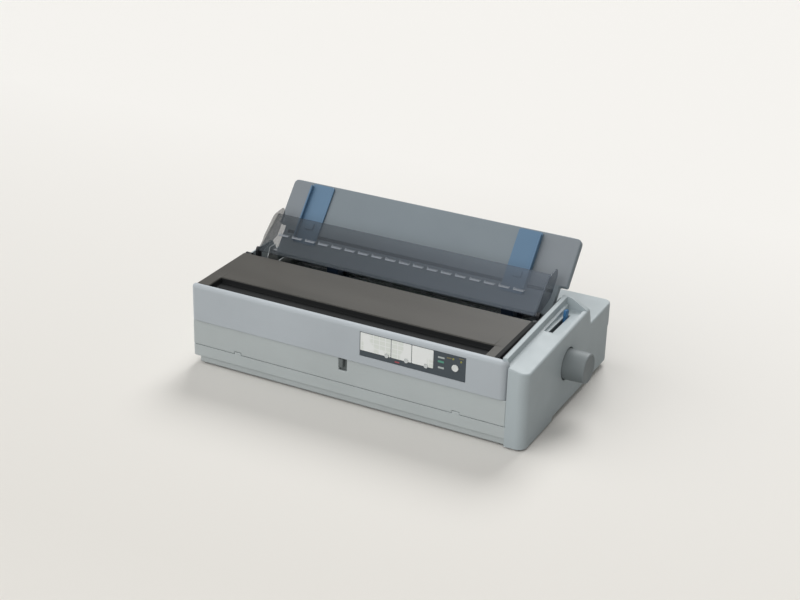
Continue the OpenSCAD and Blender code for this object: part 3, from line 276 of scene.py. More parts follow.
class Finish:
    """A material under construction, with its main shader, kept in a table by its name."""

    made = {}

    def __init__(self, name, **sockets):
        self.name = name
        Finish.made[name] = self
        self.material = bpy.data.materials.new(name)
        self.material.use_nodes = True
        self.tree = self.material.node_tree
        self.shader = self.tree.nodes["Principled BSDF"]
        self.put(**sockets)

    def put(self, **sockets):
        """Set or link the shader's sockets, named with _ for a space."""
        for name, value in sockets.items():
            self._feed(self.shader.inputs[name.replace("_", " ")], value)
        return self

    def _feed(self, target, value):
        if isinstance(value, Wire):
            self.tree.links.new(value.socket, target)
        else:
            target.default_value = value

    def node(self, kind, settings=None, sockets=None, out=0):
        """Any other node: its settings first, then the values or links of its sockets."""
        n = self.tree.nodes.new(kind)
        for key, value in (settings or {}).items():
            setattr(n, key, value)
        for key, value in (sockets or {}).items():
            self._feed(n.inputs[key], value)
        return Wire(self, n.outputs[out])

    def place(self):
        """The piece's own place, in metres."""
        return self.node("ShaderNodeTexCoord", out="Object")

    def parts(self):
        """X, Y and Z of the place as three wires."""
        n = self.tree.nodes.new("ShaderNodeSeparateXYZ")
        self.tree.links.new(self.place().socket, n.inputs[0])
        return [Wire(self, o) for o in n.outputs]

    def noise(self, scale, detail=2.0, stretch=None, roughness=0.5):
        """Cloudy noise, 0 to 1, that many waves to a metre, stretched along an axis if asked."""
        where = self.place()
        if stretch:
            where = self.node("ShaderNodeMapping", None, {"Vector": where, "Scale": stretch})
        return self.node("ShaderNodeTexNoise", None,
                         {"Vector": where, "Scale": scale, "Detail": detail, "Roughness": roughness})

    def cells(self, scale):
        """Distance to the nearest of many scattered points."""
        return self.node("ShaderNodeTexVoronoi", None, {"Vector": self.place(), "Scale": scale})

    def blend(self, share, a, b):
        """Colour a where share is 0, b where it is 1."""
        return self.node("ShaderNodeMix", {"data_type": "RGBA"}, {0: share, 6: a, 7: b}, out=2)

    def between(self, value, low, high, to_low=0.0, to_high=1.0):
        """Value's range low..high carried to another range, and held at its ends."""
        return self.node("ShaderNodeMapRange", None,
                         {0: value, 1: low, 2: high, 3: to_low, 4: to_high})

    def bump(self, height, depth):
        """Surface relief of that depth in metres."""
        return self.node("ShaderNodeBump", None, {"Height": height, "Distance": depth, "Strength": 1.0})


def shade(colour, k):
    """A colour made k times as bright."""
    return tuple(min(1.0, c * k) for c in colour[:3]) + (1.0,)


def moulded(name, colour, rough=0.5, grain=1500.0, depth=0.00006, vary=0.05):
    """Moulded plastic: fine spark-eroded grain, faint clouding and slightly uneven gloss."""
    f = Finish(name, IOR=1.46)
    cloud = f.noise(9.0, 3.0)
    speck = f.noise(grain, 2.0)
    tone = cloud * 0.7 + speck * 0.3
    f.put(Base_Color=f.blend(f.between(tone, 0.3, 0.7), shade(colour, 1 - vary), shade(colour, 1 + vary)),
          Roughness=f.between(f.noise(40.0, 3.0), 0.3, 0.7, rough - 0.05, rough + 0.06),
          Normal=f.bump(speck, depth))
    return f


def metal(name, colour, rough, stretch, lines=900.0, depth=0.00002, metallic=1.0):
    """Metal: fine grain, drawn into lines along an axis if stretched, and patches of uneven brightness."""
    f = Finish(name, Metallic=metallic)
    lined = f.noise(lines, 3.0, stretch)
    patches = f.between(lined * 0.5 + f.noise(30.0, 4.0) * 0.5, 0.35, 0.65)
    f.put(Base_Color=f.blend(patches, shade(colour, 0.86), shade(colour, 1.1)),
          Roughness=f.between(lined, 0.3, 0.7, rough - 0.07, rough + 0.1),
          Normal=f.bump(lined, depth))
    return f


def rubber(name, colour, rough=0.72):
    """Rubber: dusty matt black with a fine ground surface."""
    f = Finish(name)
    dust = f.noise(60.0, 5.0)
    f.put(Base_Color=f.blend(f.between(dust, 0.4, 0.75), colour, shade(colour, 1.9)),
          Roughness=f.between(dust, 0.3, 0.7, rough - 0.08, rough + 0.1),
          Normal=f.bump(f.noise(2200.0, 2.0), 0.00008))
    return f


def smoked(name, colour, alpha, rough, painted_shade=None, right=None):
    """Smoked plastic: tinted and partly clear, with faint flow clouds and hairline scratches.

    If asked, it turns to the right colour from left to right, a painted reflection that lightens it towards
    the right. If asked, it also takes a painted shade colour, opaque and dull, where the printer cover is
    sunk in its scoop and along its right edge by the gap to the ridge. Depth is how far a place is below that
    cover's sloping top.
    """
    f = Finish(name, IOR=1.5, Coat_Roughness=0.08, Specular_IOR_Level=0.3)
    cloud = f.noise(7.0, 3.0, (0.5, 2.0, 2.0))
    hair = f.between(f.noise(260.0, 6.0, (0.06, 1.0, 1.0), 0.7), 0.62, 0.72)
    tint = f.blend(f.between(cloud, 0.3, 0.7), shade(colour, 0.92), shade(colour, 1.1))
    opacity = f.between(cloud, 0.2, 0.8, alpha - 0.03, alpha + 0.03)
    x, y, z = f.parts()
    gloss = f.between(cloud, 0.3, 0.7, 0.1, 0.2)
    dull = 0.0
    # Painted reflection: the tint lightens from left to right across the guide cover
    if right:
        tint = f.blend(f.between(x, frame_x(HOOD_X0), frame_x(HOOD_X1)), tint, right)
    # Painted shade: a dark, opaque colour in the scoop's recess and in a strip along the cover's right edge
    if painted_shade:
        rise = COVER_RISE / (COVER_Y1 - COVER_Y0)
        depth = y * rise + (COVER_TOP + (CORNER[1] - COVER_Y0) * rise) / 1000 - z
        edge = COVER_X1 - SHADE_STRIP
        strip = f.between(x, frame_x(edge), frame_x(edge + 0.6))
        sunk = f.between(f.between(depth, 0.0008, 0.0022) + strip, 0.0, 1.0)
        tint, opacity = f.blend(sunk, tint, painted_shade), f.between(sunk, 0.0, 1.0, alpha, 1.0)
        gloss, dull = gloss * (1 - sunk), sunk * 0.35
    f.put(Base_Color=tint,
          Alpha=opacity,
          Roughness=f.between(cloud, 0.3, 0.7, rough - 0.03, rough + 0.04) + hair * 0.05 + dull,
          Coat_Weight=gloss,
          Normal=f.bump(f.noise(700.0, 2.0), 0.00003))
    return f


m_upper = moulded("case_upper", srgb(184, 194, 197))
m_fascia = moulded("fascia_grey", srgb(188, 195, 200))
m_lower = moulded("case_lower", srgb(192, 199, 199))
m_guide = moulded("guide_grey", srgb(133, 144, 151), 0.45)
m_wing = moulded("guide_margin", srgb(136, 143, 149), 0.45)
m_blue = moulded("guide_blue", srgb(98, 131, 160), 0.4)
m_lever = moulded("lever_blue", srgb(52, 110, 158), 0.4)
m_knob = moulded("knob_grey", srgb(134, 141, 143), 0.5, 1100.0, 0.0001)
m_latch = moulded("latch_grey", srgb(112, 118, 118), 0.45)
m_frame = moulded("frame_black", srgb(33, 35, 38), 0.5)
moulded("cartridge_black", srgb(28, 28, 30), 0.42)
moulded("carriage_black", srgb(30, 30, 32), 0.5, 900.0, 0.0001)
moulded("tractor_plastic", srgb(58, 74, 98), 0.45)
moulded("gear_nylon", srgb(226, 221, 205), 0.35, 2000.0, 0.00003, 0.03)
moulded("inlet_black", srgb(24, 24, 25), 0.4)
m_silver = moulded("button_silver", srgb(214, 218, 217), 0.3, 2000.0, 0.00002, 0.02)
m_white = moulded("button_white", srgb(232, 234, 232), 0.32, 2000.0, 0.00002, 0.02)
m_panel = moulded("panel_dark", srgb(76, 84, 90), 0.42, 1800.0, 0.00003)
# Smoked printer cover, with a near-black painted shade colour in its scoop and along its right edge
m_cover = smoked("smoked_cover", srgb(86, 84, 79), 0.84, 0.36, srgb(9, 12, 14))
# Smoked guide cover, dark at its left and lighter to the right by a painted reflection
m_hood = smoked("smoked_hood", srgb(56, 64, 70), 0.42, 0.24, right=srgb(104, 114, 126))
m_scale = moulded("scale_pale", srgb(140, 146, 154), 0.4)
metal("zinc_steel", srgb(176, 180, 180), 0.38, (1.0, 0.05, 1.0), 500.0)
metal("screw_steel", srgb(160, 162, 162), 0.35, (1.0, 1.0, 0.2))
metal("pin_steel", srgb(182, 184, 186), 0.25, (0.04, 1.0, 1.0))
metal("rod_chrome", srgb(214, 216, 218), 0.1, (0.03, 1.0, 1.0), 600.0, 0.000004)
metal("bush_bronze", srgb(176, 134, 84), 0.4, (1.0, 1.0, 1.0), 700.0)
metal("pinion_brass", srgb(200, 168, 98), 0.28, (0.1, 1.0, 1.0))
metal("motor_black", srgb(52, 54, 56), 0.45, (1.0, 1.0, 1.0), 300.0, 0.00003, 0.4)
metal("head_aluminium", srgb(150, 152, 154), 0.45, (1.0, 1.0, 1.0), 250.0, 0.0001)
rubber("feet_rubber", srgb(26, 26, 26))
rubber("roller_rubber", srgb(36, 36, 38), 0.6)
rubber("belt_rubber", srgb(22, 22, 22))


def tape_finish():
    """Inked nylon tape: a plain weave from two crossed waves, sin(9000 x) * sin(9000 z)."""
    f = Finish("tape_black", Sheen_Weight=0.2)
    x, _, z = f.parts()
    warp, weft = (f.node("ShaderNodeMath", {"operation": "SINE"}, {0: v * 9000.0}) for v in (x, z))
    weave = warp * weft
    f.put(Base_Color=f.blend(f.between(weave, -1.0, 1.0), srgb(10, 10, 12), srgb(30, 30, 34)),
          Roughness=f.between(weave, -1.0, 1.0, 0.6, 0.75),
          Normal=f.bump(weave, 0.00005))


def board_finish():
    """Circuit board: green mask, copper tracks every 5 mm, pale pads, and metal cans where it stands high."""
    f = Finish("board_green", IOR=1.5)
    x, y, z = f.parts()
    track = ((x * 200.0) % 1.0 < 0.16) * (f.noise(26.0, 1.0) > 0.47)
    cross = ((y * 200.0) % 1.0 < 0.16) * (f.noise(31.0, 1.0) > 0.55)
    pads = f.cells(210.0) < 0.16
    mask = f.blend(f.noise(14.0, 3.0), srgb(24, 66, 42), srgb(36, 88, 54))
    copper = f.blend(cross, f.blend(track, mask, srgb(62, 118, 74)), srgb(62, 118, 74))
    board = f.blend(pads, copper, srgb(188, 186, 172))
    can = f.between(z, 0.0172, 0.0178)
    f.put(Base_Color=f.blend(can, board, srgb(150, 154, 156)),
          Metallic=can * 0.8,
          Roughness=f.between(f.noise(60.0, 3.0), 0.3, 0.7, 0.28, 0.42),
          Normal=f.bump(track + cross, 0.00004))


def label_finish():
    """Pale label plates: light grey-green fields on a regular grid, with thin paler lines between them."""
    f = Finish("label_pale", IOR=1.46)
    x, _, z = f.parts()
    column = ((x * 95.0) % 1.0) > 0.12
    row = ((z * 125.0 + 0.2) % 1.0) > 0.14
    cloud = f.noise(55.0, 2.0)
    fields = column * row * f.between(f.noise(48.0, 0.0), 0.42, 0.5) * 0.7
    field_tone = f.blend(cloud, srgb(226, 233, 226), srgb(232, 236, 226))
    f.put(Base_Color=f.blend(fields, srgb(248, 250, 248), field_tone),
          Roughness=f.between(cloud, 0.3, 0.7, 0.33, 0.4),
          Normal=f.bump(f.noise(1800.0, 2.0), 0.00002))
    return f


def lens_finish():
    """Lamp lens: cloudy yellow-green resin with a faint glow."""
    f = Finish("lens_amber", Transmission_Weight=0.3, IOR=1.5, Emission_Strength=0.08)
    cloud = f.noise(400.0, 2.0)
    f.put(Base_Color=f.blend(cloud, srgb(150, 158, 88), srgb(186, 176, 92)),
          Emission_Color=f.blend(cloud, srgb(120, 140, 60), srgb(160, 160, 70)),
          Roughness=f.between(cloud, 0.3, 0.7, 0.15, 0.25))
    return f


def print_finish(name, colour):
    """Printed mark: flat ink with a slight orange peel."""
    f = Finish(name)
    peel = f.noise(900.0, 2.0)
    f.put(Base_Color=f.blend(peel, shade(colour, 0.94), shade(colour, 1.06)),
          Roughness=f.between(peel, 0.3, 0.7, 0.4, 0.5))
    return f


tape_finish()
board_finish()
m_label, m_lens = label_finish(), lens_finish()
m_red = print_finish("mark_red", srgb(176, 78, 88))
m_green = print_finish("mark_green", srgb(92, 160, 138))
m_pale = print_finish("mark_pale", srgb(186, 194, 192))
m_amber = print_finish("mark_amber", srgb(126, 118, 84))

# Each part of the record takes the finish that its material slot is named after
for part in frame["record"]["subparts"]:
    mesh = frame["nodes"][part["node"]].data
    mesh.materials.clear()
    mesh.materials.append(Finish.made[part["material_slot"]].material)


def piece(name, shells, finish, body, stands_for=(), wall=0.0, soften=0.0, facing=None, sharp=32.0):
    """One welded mesh of shells, turned outwards; wall thickens an open sheet, soften rounds its edges."""
    starts = np.cumsum([0] + [len(p) for p, _ in shells])
    points = (np.vstack([p for p, _ in shells]) - CORNER) / 1000
    faces = [[int(i) + int(start) for i in f] for start, (_, fs) in zip(starts, shells) for f in fs]
    mesh = bpy.data.meshes.new(name)
    mesh.from_pydata(points.tolist(), [], faces)
    work = bmesh.new()
    work.from_mesh(mesh)
    bmesh.ops.remove_doubles(work, verts=work.verts, dist=WELD)
    bmesh.ops.dissolve_degenerate(work, edges=work.edges, dist=WELD / 2)
    bmesh.ops.recalc_face_normals(work, faces=work.faces)
    if facing is not None:
        total = sum((f.normal * f.calc_area() for f in work.faces), work.faces[0].normal * 0)
        if total.dot(facing) < 0:
            bmesh.ops.reverse_faces(work, faces=work.faces)
    work.to_mesh(mesh)
    work.free()
    mesh.shade_smooth()
    mesh.set_sharp_from_angle(angle=np.radians(sharp))
    mesh.materials.append(finish.material)
    obj = bpy.data.objects.new(name, mesh)
    bpy.context.scene.collection.objects.link(obj)
    if wall:
        m = obj.modifiers.new("wall", "SOLIDIFY")
        m.thickness, m.offset, m.use_even_offset = wall / 1000, -1, True
    if soften:
        m = obj.modifiers.new("edges", "BEVEL")
        m.width, m.segments, m.limit_method = soften / 1000, 2, "ANGLE"
        m.angle_limit, m.harden_normals, m.use_clamp_overlap = np.radians(40), True, True
    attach(obj, body)
    if stands_for:
        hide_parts(*stands_for)


# Front panel ----------------------------------------------------------------------------------------

def fascia():
    """Open shell: a C-shaped wall carried along a U-shaped plan, with a rounded top strip and a window."""
    end, left_r, right_r, foot_r, head_r = SEAM_X - 0.3, 8, 12, 1.2, 5
    path = np.vstack([[[0.0, FASCIA_D]], arc(left_r, left_r, left_r, 180, 270, 9),
                      [[PANEL_X, 0], [PANEL_X + PANEL_W, 0]],
                      arc(end - right_r, right_r, right_r, 270, 345.5, 11)])
    path = inset(path, 0.25, False)
    t = np.linspace(0, np.pi / 2, 7)
    foot = np.c_[foot_r * (1 - np.sin(t)), FASCIA_LOW + foot_r * (1 - np.cos(t))]
    head = np.c_[head_r * (1 - np.cos(t)), FASCIA_TOP - head_r + head_r * np.sin(t)]
    rings = np.vstack([[1.6, FASCIA_LOW], foot, [0, FASCIA_LOW + 1.6], [0, PANEL_Z], [0, PANEL_Z + PANEL_H],
                       [0, FASCIA_TOP - 5.5], head, [5.4, FASCIA_TOP]])
    window = {0: (PANEL_X, PANEL_X + PANEL_W), 2: (PANEL_Z, PANEL_Z + PANEL_H)}
    shell = opened(carried(path, rings, False), window)
    piece("front_fascia_skin", [shell], m_fascia, "root", ["front_fascia"], 2.6, 0.35, (0, -1, 0))


# Case -----------------------------------------------------------------------------------------------

def lower_case():
    """Open shell: the tray's wall round its plan, in to the skirt, and down to the floor's clipped plan."""
    x1 = SEAM_X - 0.3
    notch = PLATEN_Y + np.r_[-18.1, -16, -12, -8, -4, 0, 4, 8, 12, 16, 18.1]
    sockets, socket_low, data_top, mains_top = [59.7, 116.3, 139.7, 196.3, 500.0, 528.0], 23.7, 38.3, 48.0
    path = np.vstack([arc(4, 7, 4, 180, 270, 7), [[x1, 3], [x1, 5.3]], arc(576, 16, 10.7, 270, 360, 7),
                      np.c_[np.full(len(notch), CASE_W - 3.3), notch], arc(578, 338, 8.7, 0, 90, 7),
                      [[x1, CASE_D - 3.3], [x1, CASE_D]], [[x, CASE_D] for x in sockets[::-1]],
                      arc(5, CASE_D - 5, 5, 90, 180, 7), [[0, 7.6], [0, 7.4]]])
    top = np.where(path[:, 1] < 7.5, LIP_H, TRAY_H)
    under_knob = (path[:, 0] > 580) & (np.abs(path[:, 1] - PLATEN_Y) < 18)
    top[under_knob] = PLATEN_Z - np.sqrt(KNOB_HOLE_R ** 2 - (path[under_knob, 1] - PLATEN_Y) ** 2)
    walls = [(0, top), (0, np.minimum(mains_top, top - 0.5)), (0, np.minimum(data_top, top - 1.0)),
             (0, socket_low), (0, 17.0)]
    t = np.linspace(np.pi / 2, 0, 5)
    walls += [(2 * (1 - np.sin(a)), SKIRT_H + 2 * (1 - np.cos(a))) for a in t]
    rings = [np.c_[inset(path, d), np.broadcast_to(z, len(path))] for d, z in walls]
    lo, hi, centre, corner_r = np.array([12.0, 6.0]), np.array([582.7, 342.0]), [572.7, 16.0], 10
    for d, z in [(0, SKIRT_H), (0, 5.5), (0.2, 4.6), (0.7, 3.7), (1.5, 3.1), (2.4, 3.0)]:
        plan = np.clip(path, lo + d, hi - d)
        away = plan - centre
        in_corner = (away[:, 0] > 0) & (away[:, 1] < 0)
        shrink = np.minimum(1.0, (corner_r - d) / np.maximum(np.linalg.norm(away, axis=1), 1e-9))
        plan = np.where(in_corner[:, None], centre + away * shrink[:, None], plan)
        rings.append(np.c_[plan, np.full(len(path), z)])
    points = np.vstack(rings)
    n = len(path)
    faces = quads(len(rings), n, True).tolist() + [list(range(len(points) - n, len(points)))]
    rear, data, mains = (CASE_D - 1, CASE_D + 1), (socket_low, data_top), (socket_low, mains_top)
    shell = opened((points, faces), {0: sockets[:2], 1: rear, 2: data}, {0: sockets[2:4], 1: rear, 2: data},
                   {0: sockets[4:], 1: rear, 2: mains})
    piece("lower_case_skin", [shell], m_lower, "root", ["lower_case"], 2.8, 0.4, (0, 0, -1))
    ears = [slab(eased(rect(x, 3.2, x + EAR_W, 6.6), 0.8, 5), 33.0, 38.4) for x in EAR_XS]
    piece("door_ears", ears, m_lower, "root")


def tower_border(y):
    """X of the tower's outer side: each upright corner takes off r - sqrt(r^2 - (y past its centre)^2)."""
    def lost(past, r):
        return r - np.sqrt(r ** 2 - np.clip(past, 0, r) ** 2)

    return CASE_W - lost(FRONT_Y - y, FRONT_R) - lost(y - REAR_Y, REAR_R)


def tower_top(x, y):
    """Height of the tower's top: a tilted slope with a level recess, a raised end behind it, the low deck."""
    high, fall, run, recess_x, recess_y, recess_z = 134.2, 6.2, 33, 583, 134.95, 136.5
    body = (high - (x - RIDGE_X1) * fall / run) / np.cos(TILT) + y * np.tan(TILT)
    end = DECK_H + (DECK_Y - y) * END_SLOPE
    in_recess = (x > SEAM_X - 1) & (x < recess_x) & (y > recess_y) & (y < GUSSET_Y)
    z = np.where(in_recess, np.minimum(body, recess_z), body)
    z = np.where(y > GUSSET_Y, np.maximum(np.minimum(body, end), np.minimum(gusset_top(x), end)), z)
    return np.where(y >= DECK_Y, deck_top(y), z)


def gusset_top(x):
    """Height of the tower's raised end, which falls away from the ridge by GUSSET_DROP over GUSSET_W."""
    return RIDGE_REAR_Z - np.clip(x - GUSSET_X, 0, None) * GUSSET_DROP / GUSSET_W


def deck_top(y):
    """Height of the rear deck, which rises rearwards by DECK_RISE over DECK_RUN."""
    return DECK_H + DECK_RISE * (y - DECK_Y) / DECK_RUN


def border_drop(x, y, r=3.0):
    """Quarter-round: r - sqrt(r^2 - (r - d)^2), d from the tower's front, outer or rear border."""
    def depth(cy, radius, sign):
        qx, qy = x - (CASE_W - radius), sign * (y - cy)
        return radius - np.hypot(np.maximum(qx, 0), np.maximum(qy, 0)) - np.minimum(np.maximum(qx, qy), 0)

    d = np.clip(np.minimum(depth(FRONT_Y, FRONT_R, -1), depth(REAR_Y, REAR_R, 1)), 0, r)
    return r - np.sqrt(r ** 2 - (r - d) ** 2)


def tower():
    """Open shell: a height field over the tower's plan, and walls down from it, with the knob's hole."""
    slot_x, slot_y, rim_w, half = (562.5, 569.5), (142, 214), 3.8, 28
    relief, relief_y, relief_z, front_foot, rear_foot = 1.0, 258, 74, 3.0, 10.0
    hole_y, hole_z = (PLATEN_Y - half, PLATEN_Y + half), (PLATEN_Z - half, PLATEN_Z + half)
    a = np.radians(np.linspace(0, 90, 10))
    hole_ys = np.linspace(*hole_y, 9)
    front = np.unique(np.round(np.r_[FRONT_Y - FRONT_R * np.cos(a), 2.5, 3.2, 4.2, 5.0, 5.4], 3))
    rear = np.r_[REAR_Y + REAR_R * np.sin(a), CASE_D - 3.2, CASE_D - 2.4, CASE_D - 1.6]
    rear = np.unique(np.round(rear, 3))
    middle = np.r_[60, 111.8, 112.0, 134.9, hole_ys, slot_y[1], GUSSET_Y - 0.05, GUSSET_Y + 0.05]
    behind = np.r_[257.7, 258.3, 300, 330]
    inner = np.r_[SEAM_X, slot_x, 576, 582.9, 583.05, 585.2]
    off = np.r_[3.4, 3.0, 2.2, 1.4, 0.75, 0.25, 0.0]
    flat = np.r_[front, middle]
    crease = DECK_Y - (gusset_top(np.r_[inner, CASE_W - off]) - DECK_H) / END_SLOPE
    columns = len(inner) + len(off)
    part = [np.repeat(flat[:, None], columns, 1)]
    part += [(GUSSET_Y + 0.05) * (1 - f) + crease[None, :] * f for f in (0.5, 1.0)]
    part += [crease[None, :] * (1 - f) + DECK_Y * f for f in (0.5, 1.0)]
    part += [np.repeat(np.r_[behind, rear][:, None], columns, 1)]
    y = np.vstack(part)
    edge = tower_border(y[:, -1:])
    share = (inner[None, :] - SEAM_X) * (edge - rim_w - SEAM_X) / (CASE_W - rim_w - SEAM_X)
    x = np.hstack([SEAM_X + share, edge - off[None, :]])
    z = tower_top(x, y) - border_drop(x, y)
    shells = [opened(field(x, y, z), {0: slot_x, 1: slot_y})]
    # side wall, with its relief in the rear lower corner and the knob's hole
    levels = np.r_[hole_z[1], 100, 92, 84, 76, 74.3, 73.7, 68, 60, hole_z[0], 24, rear_foot]
    feet = np.where(y[:, -1:] < 111.9, front_foot, rear_foot)
    wy = np.repeat(y[:, -1:], len(levels) + 2, 1)
    wz = np.hstack([z[:, -1:], np.repeat(levels[None, :], len(y), 0), feet])
    wx = tower_border(wy) - relief * ((wy > relief_y) & (wz < relief_z))
    shells.append(opened(field(wx, wy, wz), {1: hole_y, 2: hole_z}))
    zs = levels[(levels <= hole_z[1]) & (levels >= hole_z[0])]
    square = np.array([(v, hole_z[1]) for v in hole_ys] + [(hole_y[1], v) for v in zs[1:]]
                      + [(v, hole_z[0]) for v in hole_ys[-2::-1]] + [(hole_y[0], v) for v in zs[-2:0:-1]])
    away = square - [PLATEN_Y, PLATEN_Z]
    circle = [PLATEN_Y, PLATEN_Z] + KNOB_HOLE_R * away / np.linalg.norm(away, axis=1)[:, None]
    n = len(square)
    shells.append((np.c_[np.full(2 * n, CASE_W), np.vstack([circle, square])], quads(2, n, True).tolist()))
    # front and rear walls, down from the first and last rows
    for i, foot in ((0, front_foot), (-1, rear_foot)):
        shells.append(field(x[i], y[i, 0], np.stack([z[i], np.full(columns, foot)])))
    piece("tower_skin", shells, m_upper, "root", ["upper_case"], 2.4, 0.5, (1, 0, 0.3))


def ridge():
    """Bar: the ridge's cross-section carried rearwards, rising with the tilt and cut by the end's slope."""
    t = np.radians(np.linspace(0, 90, 5))
    r, foot = 1.4, 104.0
    left = np.c_[RIDGE_X0 + r * (1 - np.cos(t)), CASE_H - r + r * np.sin(t)]
    right = np.c_[RIDGE_X1 - r * (1 - np.cos(t)), CASE_H - r + r * np.sin(t)][::-1]
    section = np.vstack([[[RIDGE_X0, foot]], left, right, [[RIDGE_X1 + 0.05, 134.6], [RIDGE_X1 + 0.4, 134.15],
                                                           [SEAM_X - 0.02, 133.45], [SEAM_X, foot]]])
    crease = DECK_Y - (RIDGE_REAR_Z - DECK_H) / END_SLOPE
    y = np.r_[FASCIA_D + 0.3, 60, 134.9, 135.0, GUSSET_Y - 0.05, GUSSET_Y + 0.05, crease, 248, DECK_Y]
    y = y[:, None]
    x, h = section[:, 0][None, :], section[:, 1][None, :]
    z = h / np.cos(TILT) + y * np.tan(TILT)
    z = np.where(h < foot + 1, foot, z)
    raised = (y > GUSSET_Y) & (h > foot + 1)
    z = np.where(raised, np.minimum(RIDGE_REAR_Z, DECK_H + (DECK_Y - y) * END_SLOPE), z)
    points, faces = field(x, y, z)
    n, m = z.shape
    row = np.arange(n - 1)
    under = np.stack([row * m, row * m + m - 1, (row + 1) * m + m - 1, (row + 1) * m], -1)
    faces += under.tolist() + [list(range(m)), list(range((n - 1) * m, n * m))]
    piece("ridge_rail", [(points, faces)], m_upper, "root", soften=0.3)


def left_wall():
    """Plate: the left wall's side outline, thin along X, with rounded edges."""
    rear = DECK_FRONT + 0.2
    outline = [[7.6, 60.4], [7.6, 78.6], [9.5, 79.4], [9.5, 133], [245, 133], [DECK_Y, DECK_H],
               [rear, DECK_H + 0.3], [rear, 60.4]]
    plate = slab(eased(outline, [0.6, 0.6, 0.6, 4, 5, 3, 0.6, 0.6]), 0, 3, 1.0, "x")
    piece("left_wall", [plate], m_upper, "root")


def deck():
    """Open shell: a gently rising height field, rounded at its left and rear, and walls down from there."""
    r, slot_x, slot_z = 3.0, (40, 520), (66.0, 96.0)
    off = np.r_[0.2, 0.3, 0.75, 1.4, 2.2, 3.0, 3.4]
    x = np.r_[off, slot_x, SEAM_X][None, :]
    y = np.r_[DECK_FRONT, 300, CASE_D - off[::-1]][:, None]
    d = np.clip(np.minimum(x, CASE_D - y), 0, r)
    near = np.hypot(np.clip(r - x, 0, r), np.clip(r - (CASE_D - y), 0, r))
    d = np.where((x < r) & (CASE_D - y < r), np.clip(r - near, 0, r), d)
    z = deck_top(y) - (r - np.sqrt(r ** 2 - (r - d) ** 2))
    feet = np.r_[slot_z[1], slot_z[0], 60.4][:, None]
    side = np.vstack([z[:, 0], np.repeat(feet, len(y), 1)])
    back = np.vstack([z[-1], np.repeat(feet, x.shape[1], 1)])
    shells = [field(x, y, z), field(off[0], y[:, 0], side),
              opened(field(x[0], CASE_D - off[0], back), {0: slot_x, 2: slot_z})]
    piece("rear_deck", shells, m_upper, "root", wall=2.6, soften=0.4, facing=(0, 0.4, 1))


# Doors and covers -----------------------------------------------------------------------------------

def door():
    """Plate: the drop-down front cover's face outline with its notches, thin along Y."""
    lo, hi, x1, gap, ear_z = 35.0, FASCIA_LOW - 0.3, SEAM_X - 0.6, 0.3, 39.1
    sides = [(x - gap, x + EAR_W + gap) for x in EAR_XS]
    notches = [[[a, lo], [a, ear_z], [b, ear_z], [b, lo]] for a, b in sides]
    outline = np.vstack([[[1, lo]], *notches,
                         [[x1, lo], [x1, hi], [287, hi], [287, 57], [273, 57], [273, hi], [1, hi]]])
    cuts = [3] + [0.5] * 8 + [1.0, 1.0, 0.8, 1.5, 1.5, 0.8, 1.5]
    piece("front_door", [slab(eased(outline, cuts), 3, 7, 1.5, "y")], m_lower, "front_cover", ["front_cover"])


def latch():
    """Tab with a stepped face, and the plate behind it."""
    tab = slab(eased(rect(273.4, 63, 281, 77), 1.0), 0.9, 7.2, 0.8, "y")
    lip = slab(eased(rect(273.4, 63, 281, 65.5), 0.8), 0.8, 2.4, 0.5, "y")
    plate = slab(eased(rect(269, 53, 291, 77), 2.0), 7.3, 9.3, 0.5, "y")
    piece("latch_tab", [tab, lip, plate], m_latch, "front_latch", ["front_latch"])


def printer_cover():
    """Open shell: a height field with flanges round its borders and a scoop pressed into its front edge."""
    scoop_depth, bank_x, bank_y = 9, 4, 4.5
    flange = np.r_[-11.0, -2.5, -1.3, -0.55, -0.12, 0.0, 0.0]
    reach = np.r_[0.0, 0.0, 0.3, 1.0, 2.0, 2.8, 3.4]
    step = np.linspace(0, 1, 7)
    xa, xb = COVER_X0 + 24.0, COVER_X1 - 24.0
    x = np.r_[COVER_X0 + reach, xa - 2 + bank_x * step, 180, 360, xb - 2 + bank_x * step,
              COVER_X1 - reach[::-1]]
    drop_x = np.r_[flange, np.zeros(len(x) - 2 * len(flange)), flange[::-1]]
    rear = flange[:1:-1]
    y = np.r_[COVER_Y0 + reach, 24, SCOOP_Y - 4 + bank_y * step, 90, COVER_Y1 - reach[:1:-1]]
    drop_y = np.r_[np.maximum(flange, -9), np.zeros(len(y) - len(flange) - len(rear)), np.maximum(rear, -2.5)]
    across = ease((x - xa + 2) / bank_x) * ease((xb + 2 - x) / bank_x)
    along = 1 - ease((y - SCOOP_Y + 4) / bank_y)
    z = COVER_TOP + COVER_RISE * (y[:, None] - COVER_Y0) / (COVER_Y1 - COVER_Y0)
    drop = np.minimum(drop_x[None, :], drop_y[:, None])
    z = z + np.minimum(drop, -scoop_depth * along[:, None] * across[None, :])
    return field(x[None, :], y[:, None], z)


def cover_pieces():
    """The printer cover's skin, and its two hinge lugs as plates with a round end."""
    piece("printer_cover_skin", [printer_cover()], m_cover, "printer_cover", ["printer_cover"],
          2.4, 0.4, (0, 0, 1))
    outline = np.vstack([arc(158, 137, 5, -90, 90, 9), [[141, 141.5], [141, 136.0]]])
    lugs = [slab(outline, x, x + 6, 0.7, "x") for x in (9.8, 530.7)]
    piece("cover_lugs", lugs, m_frame, "printer_cover")


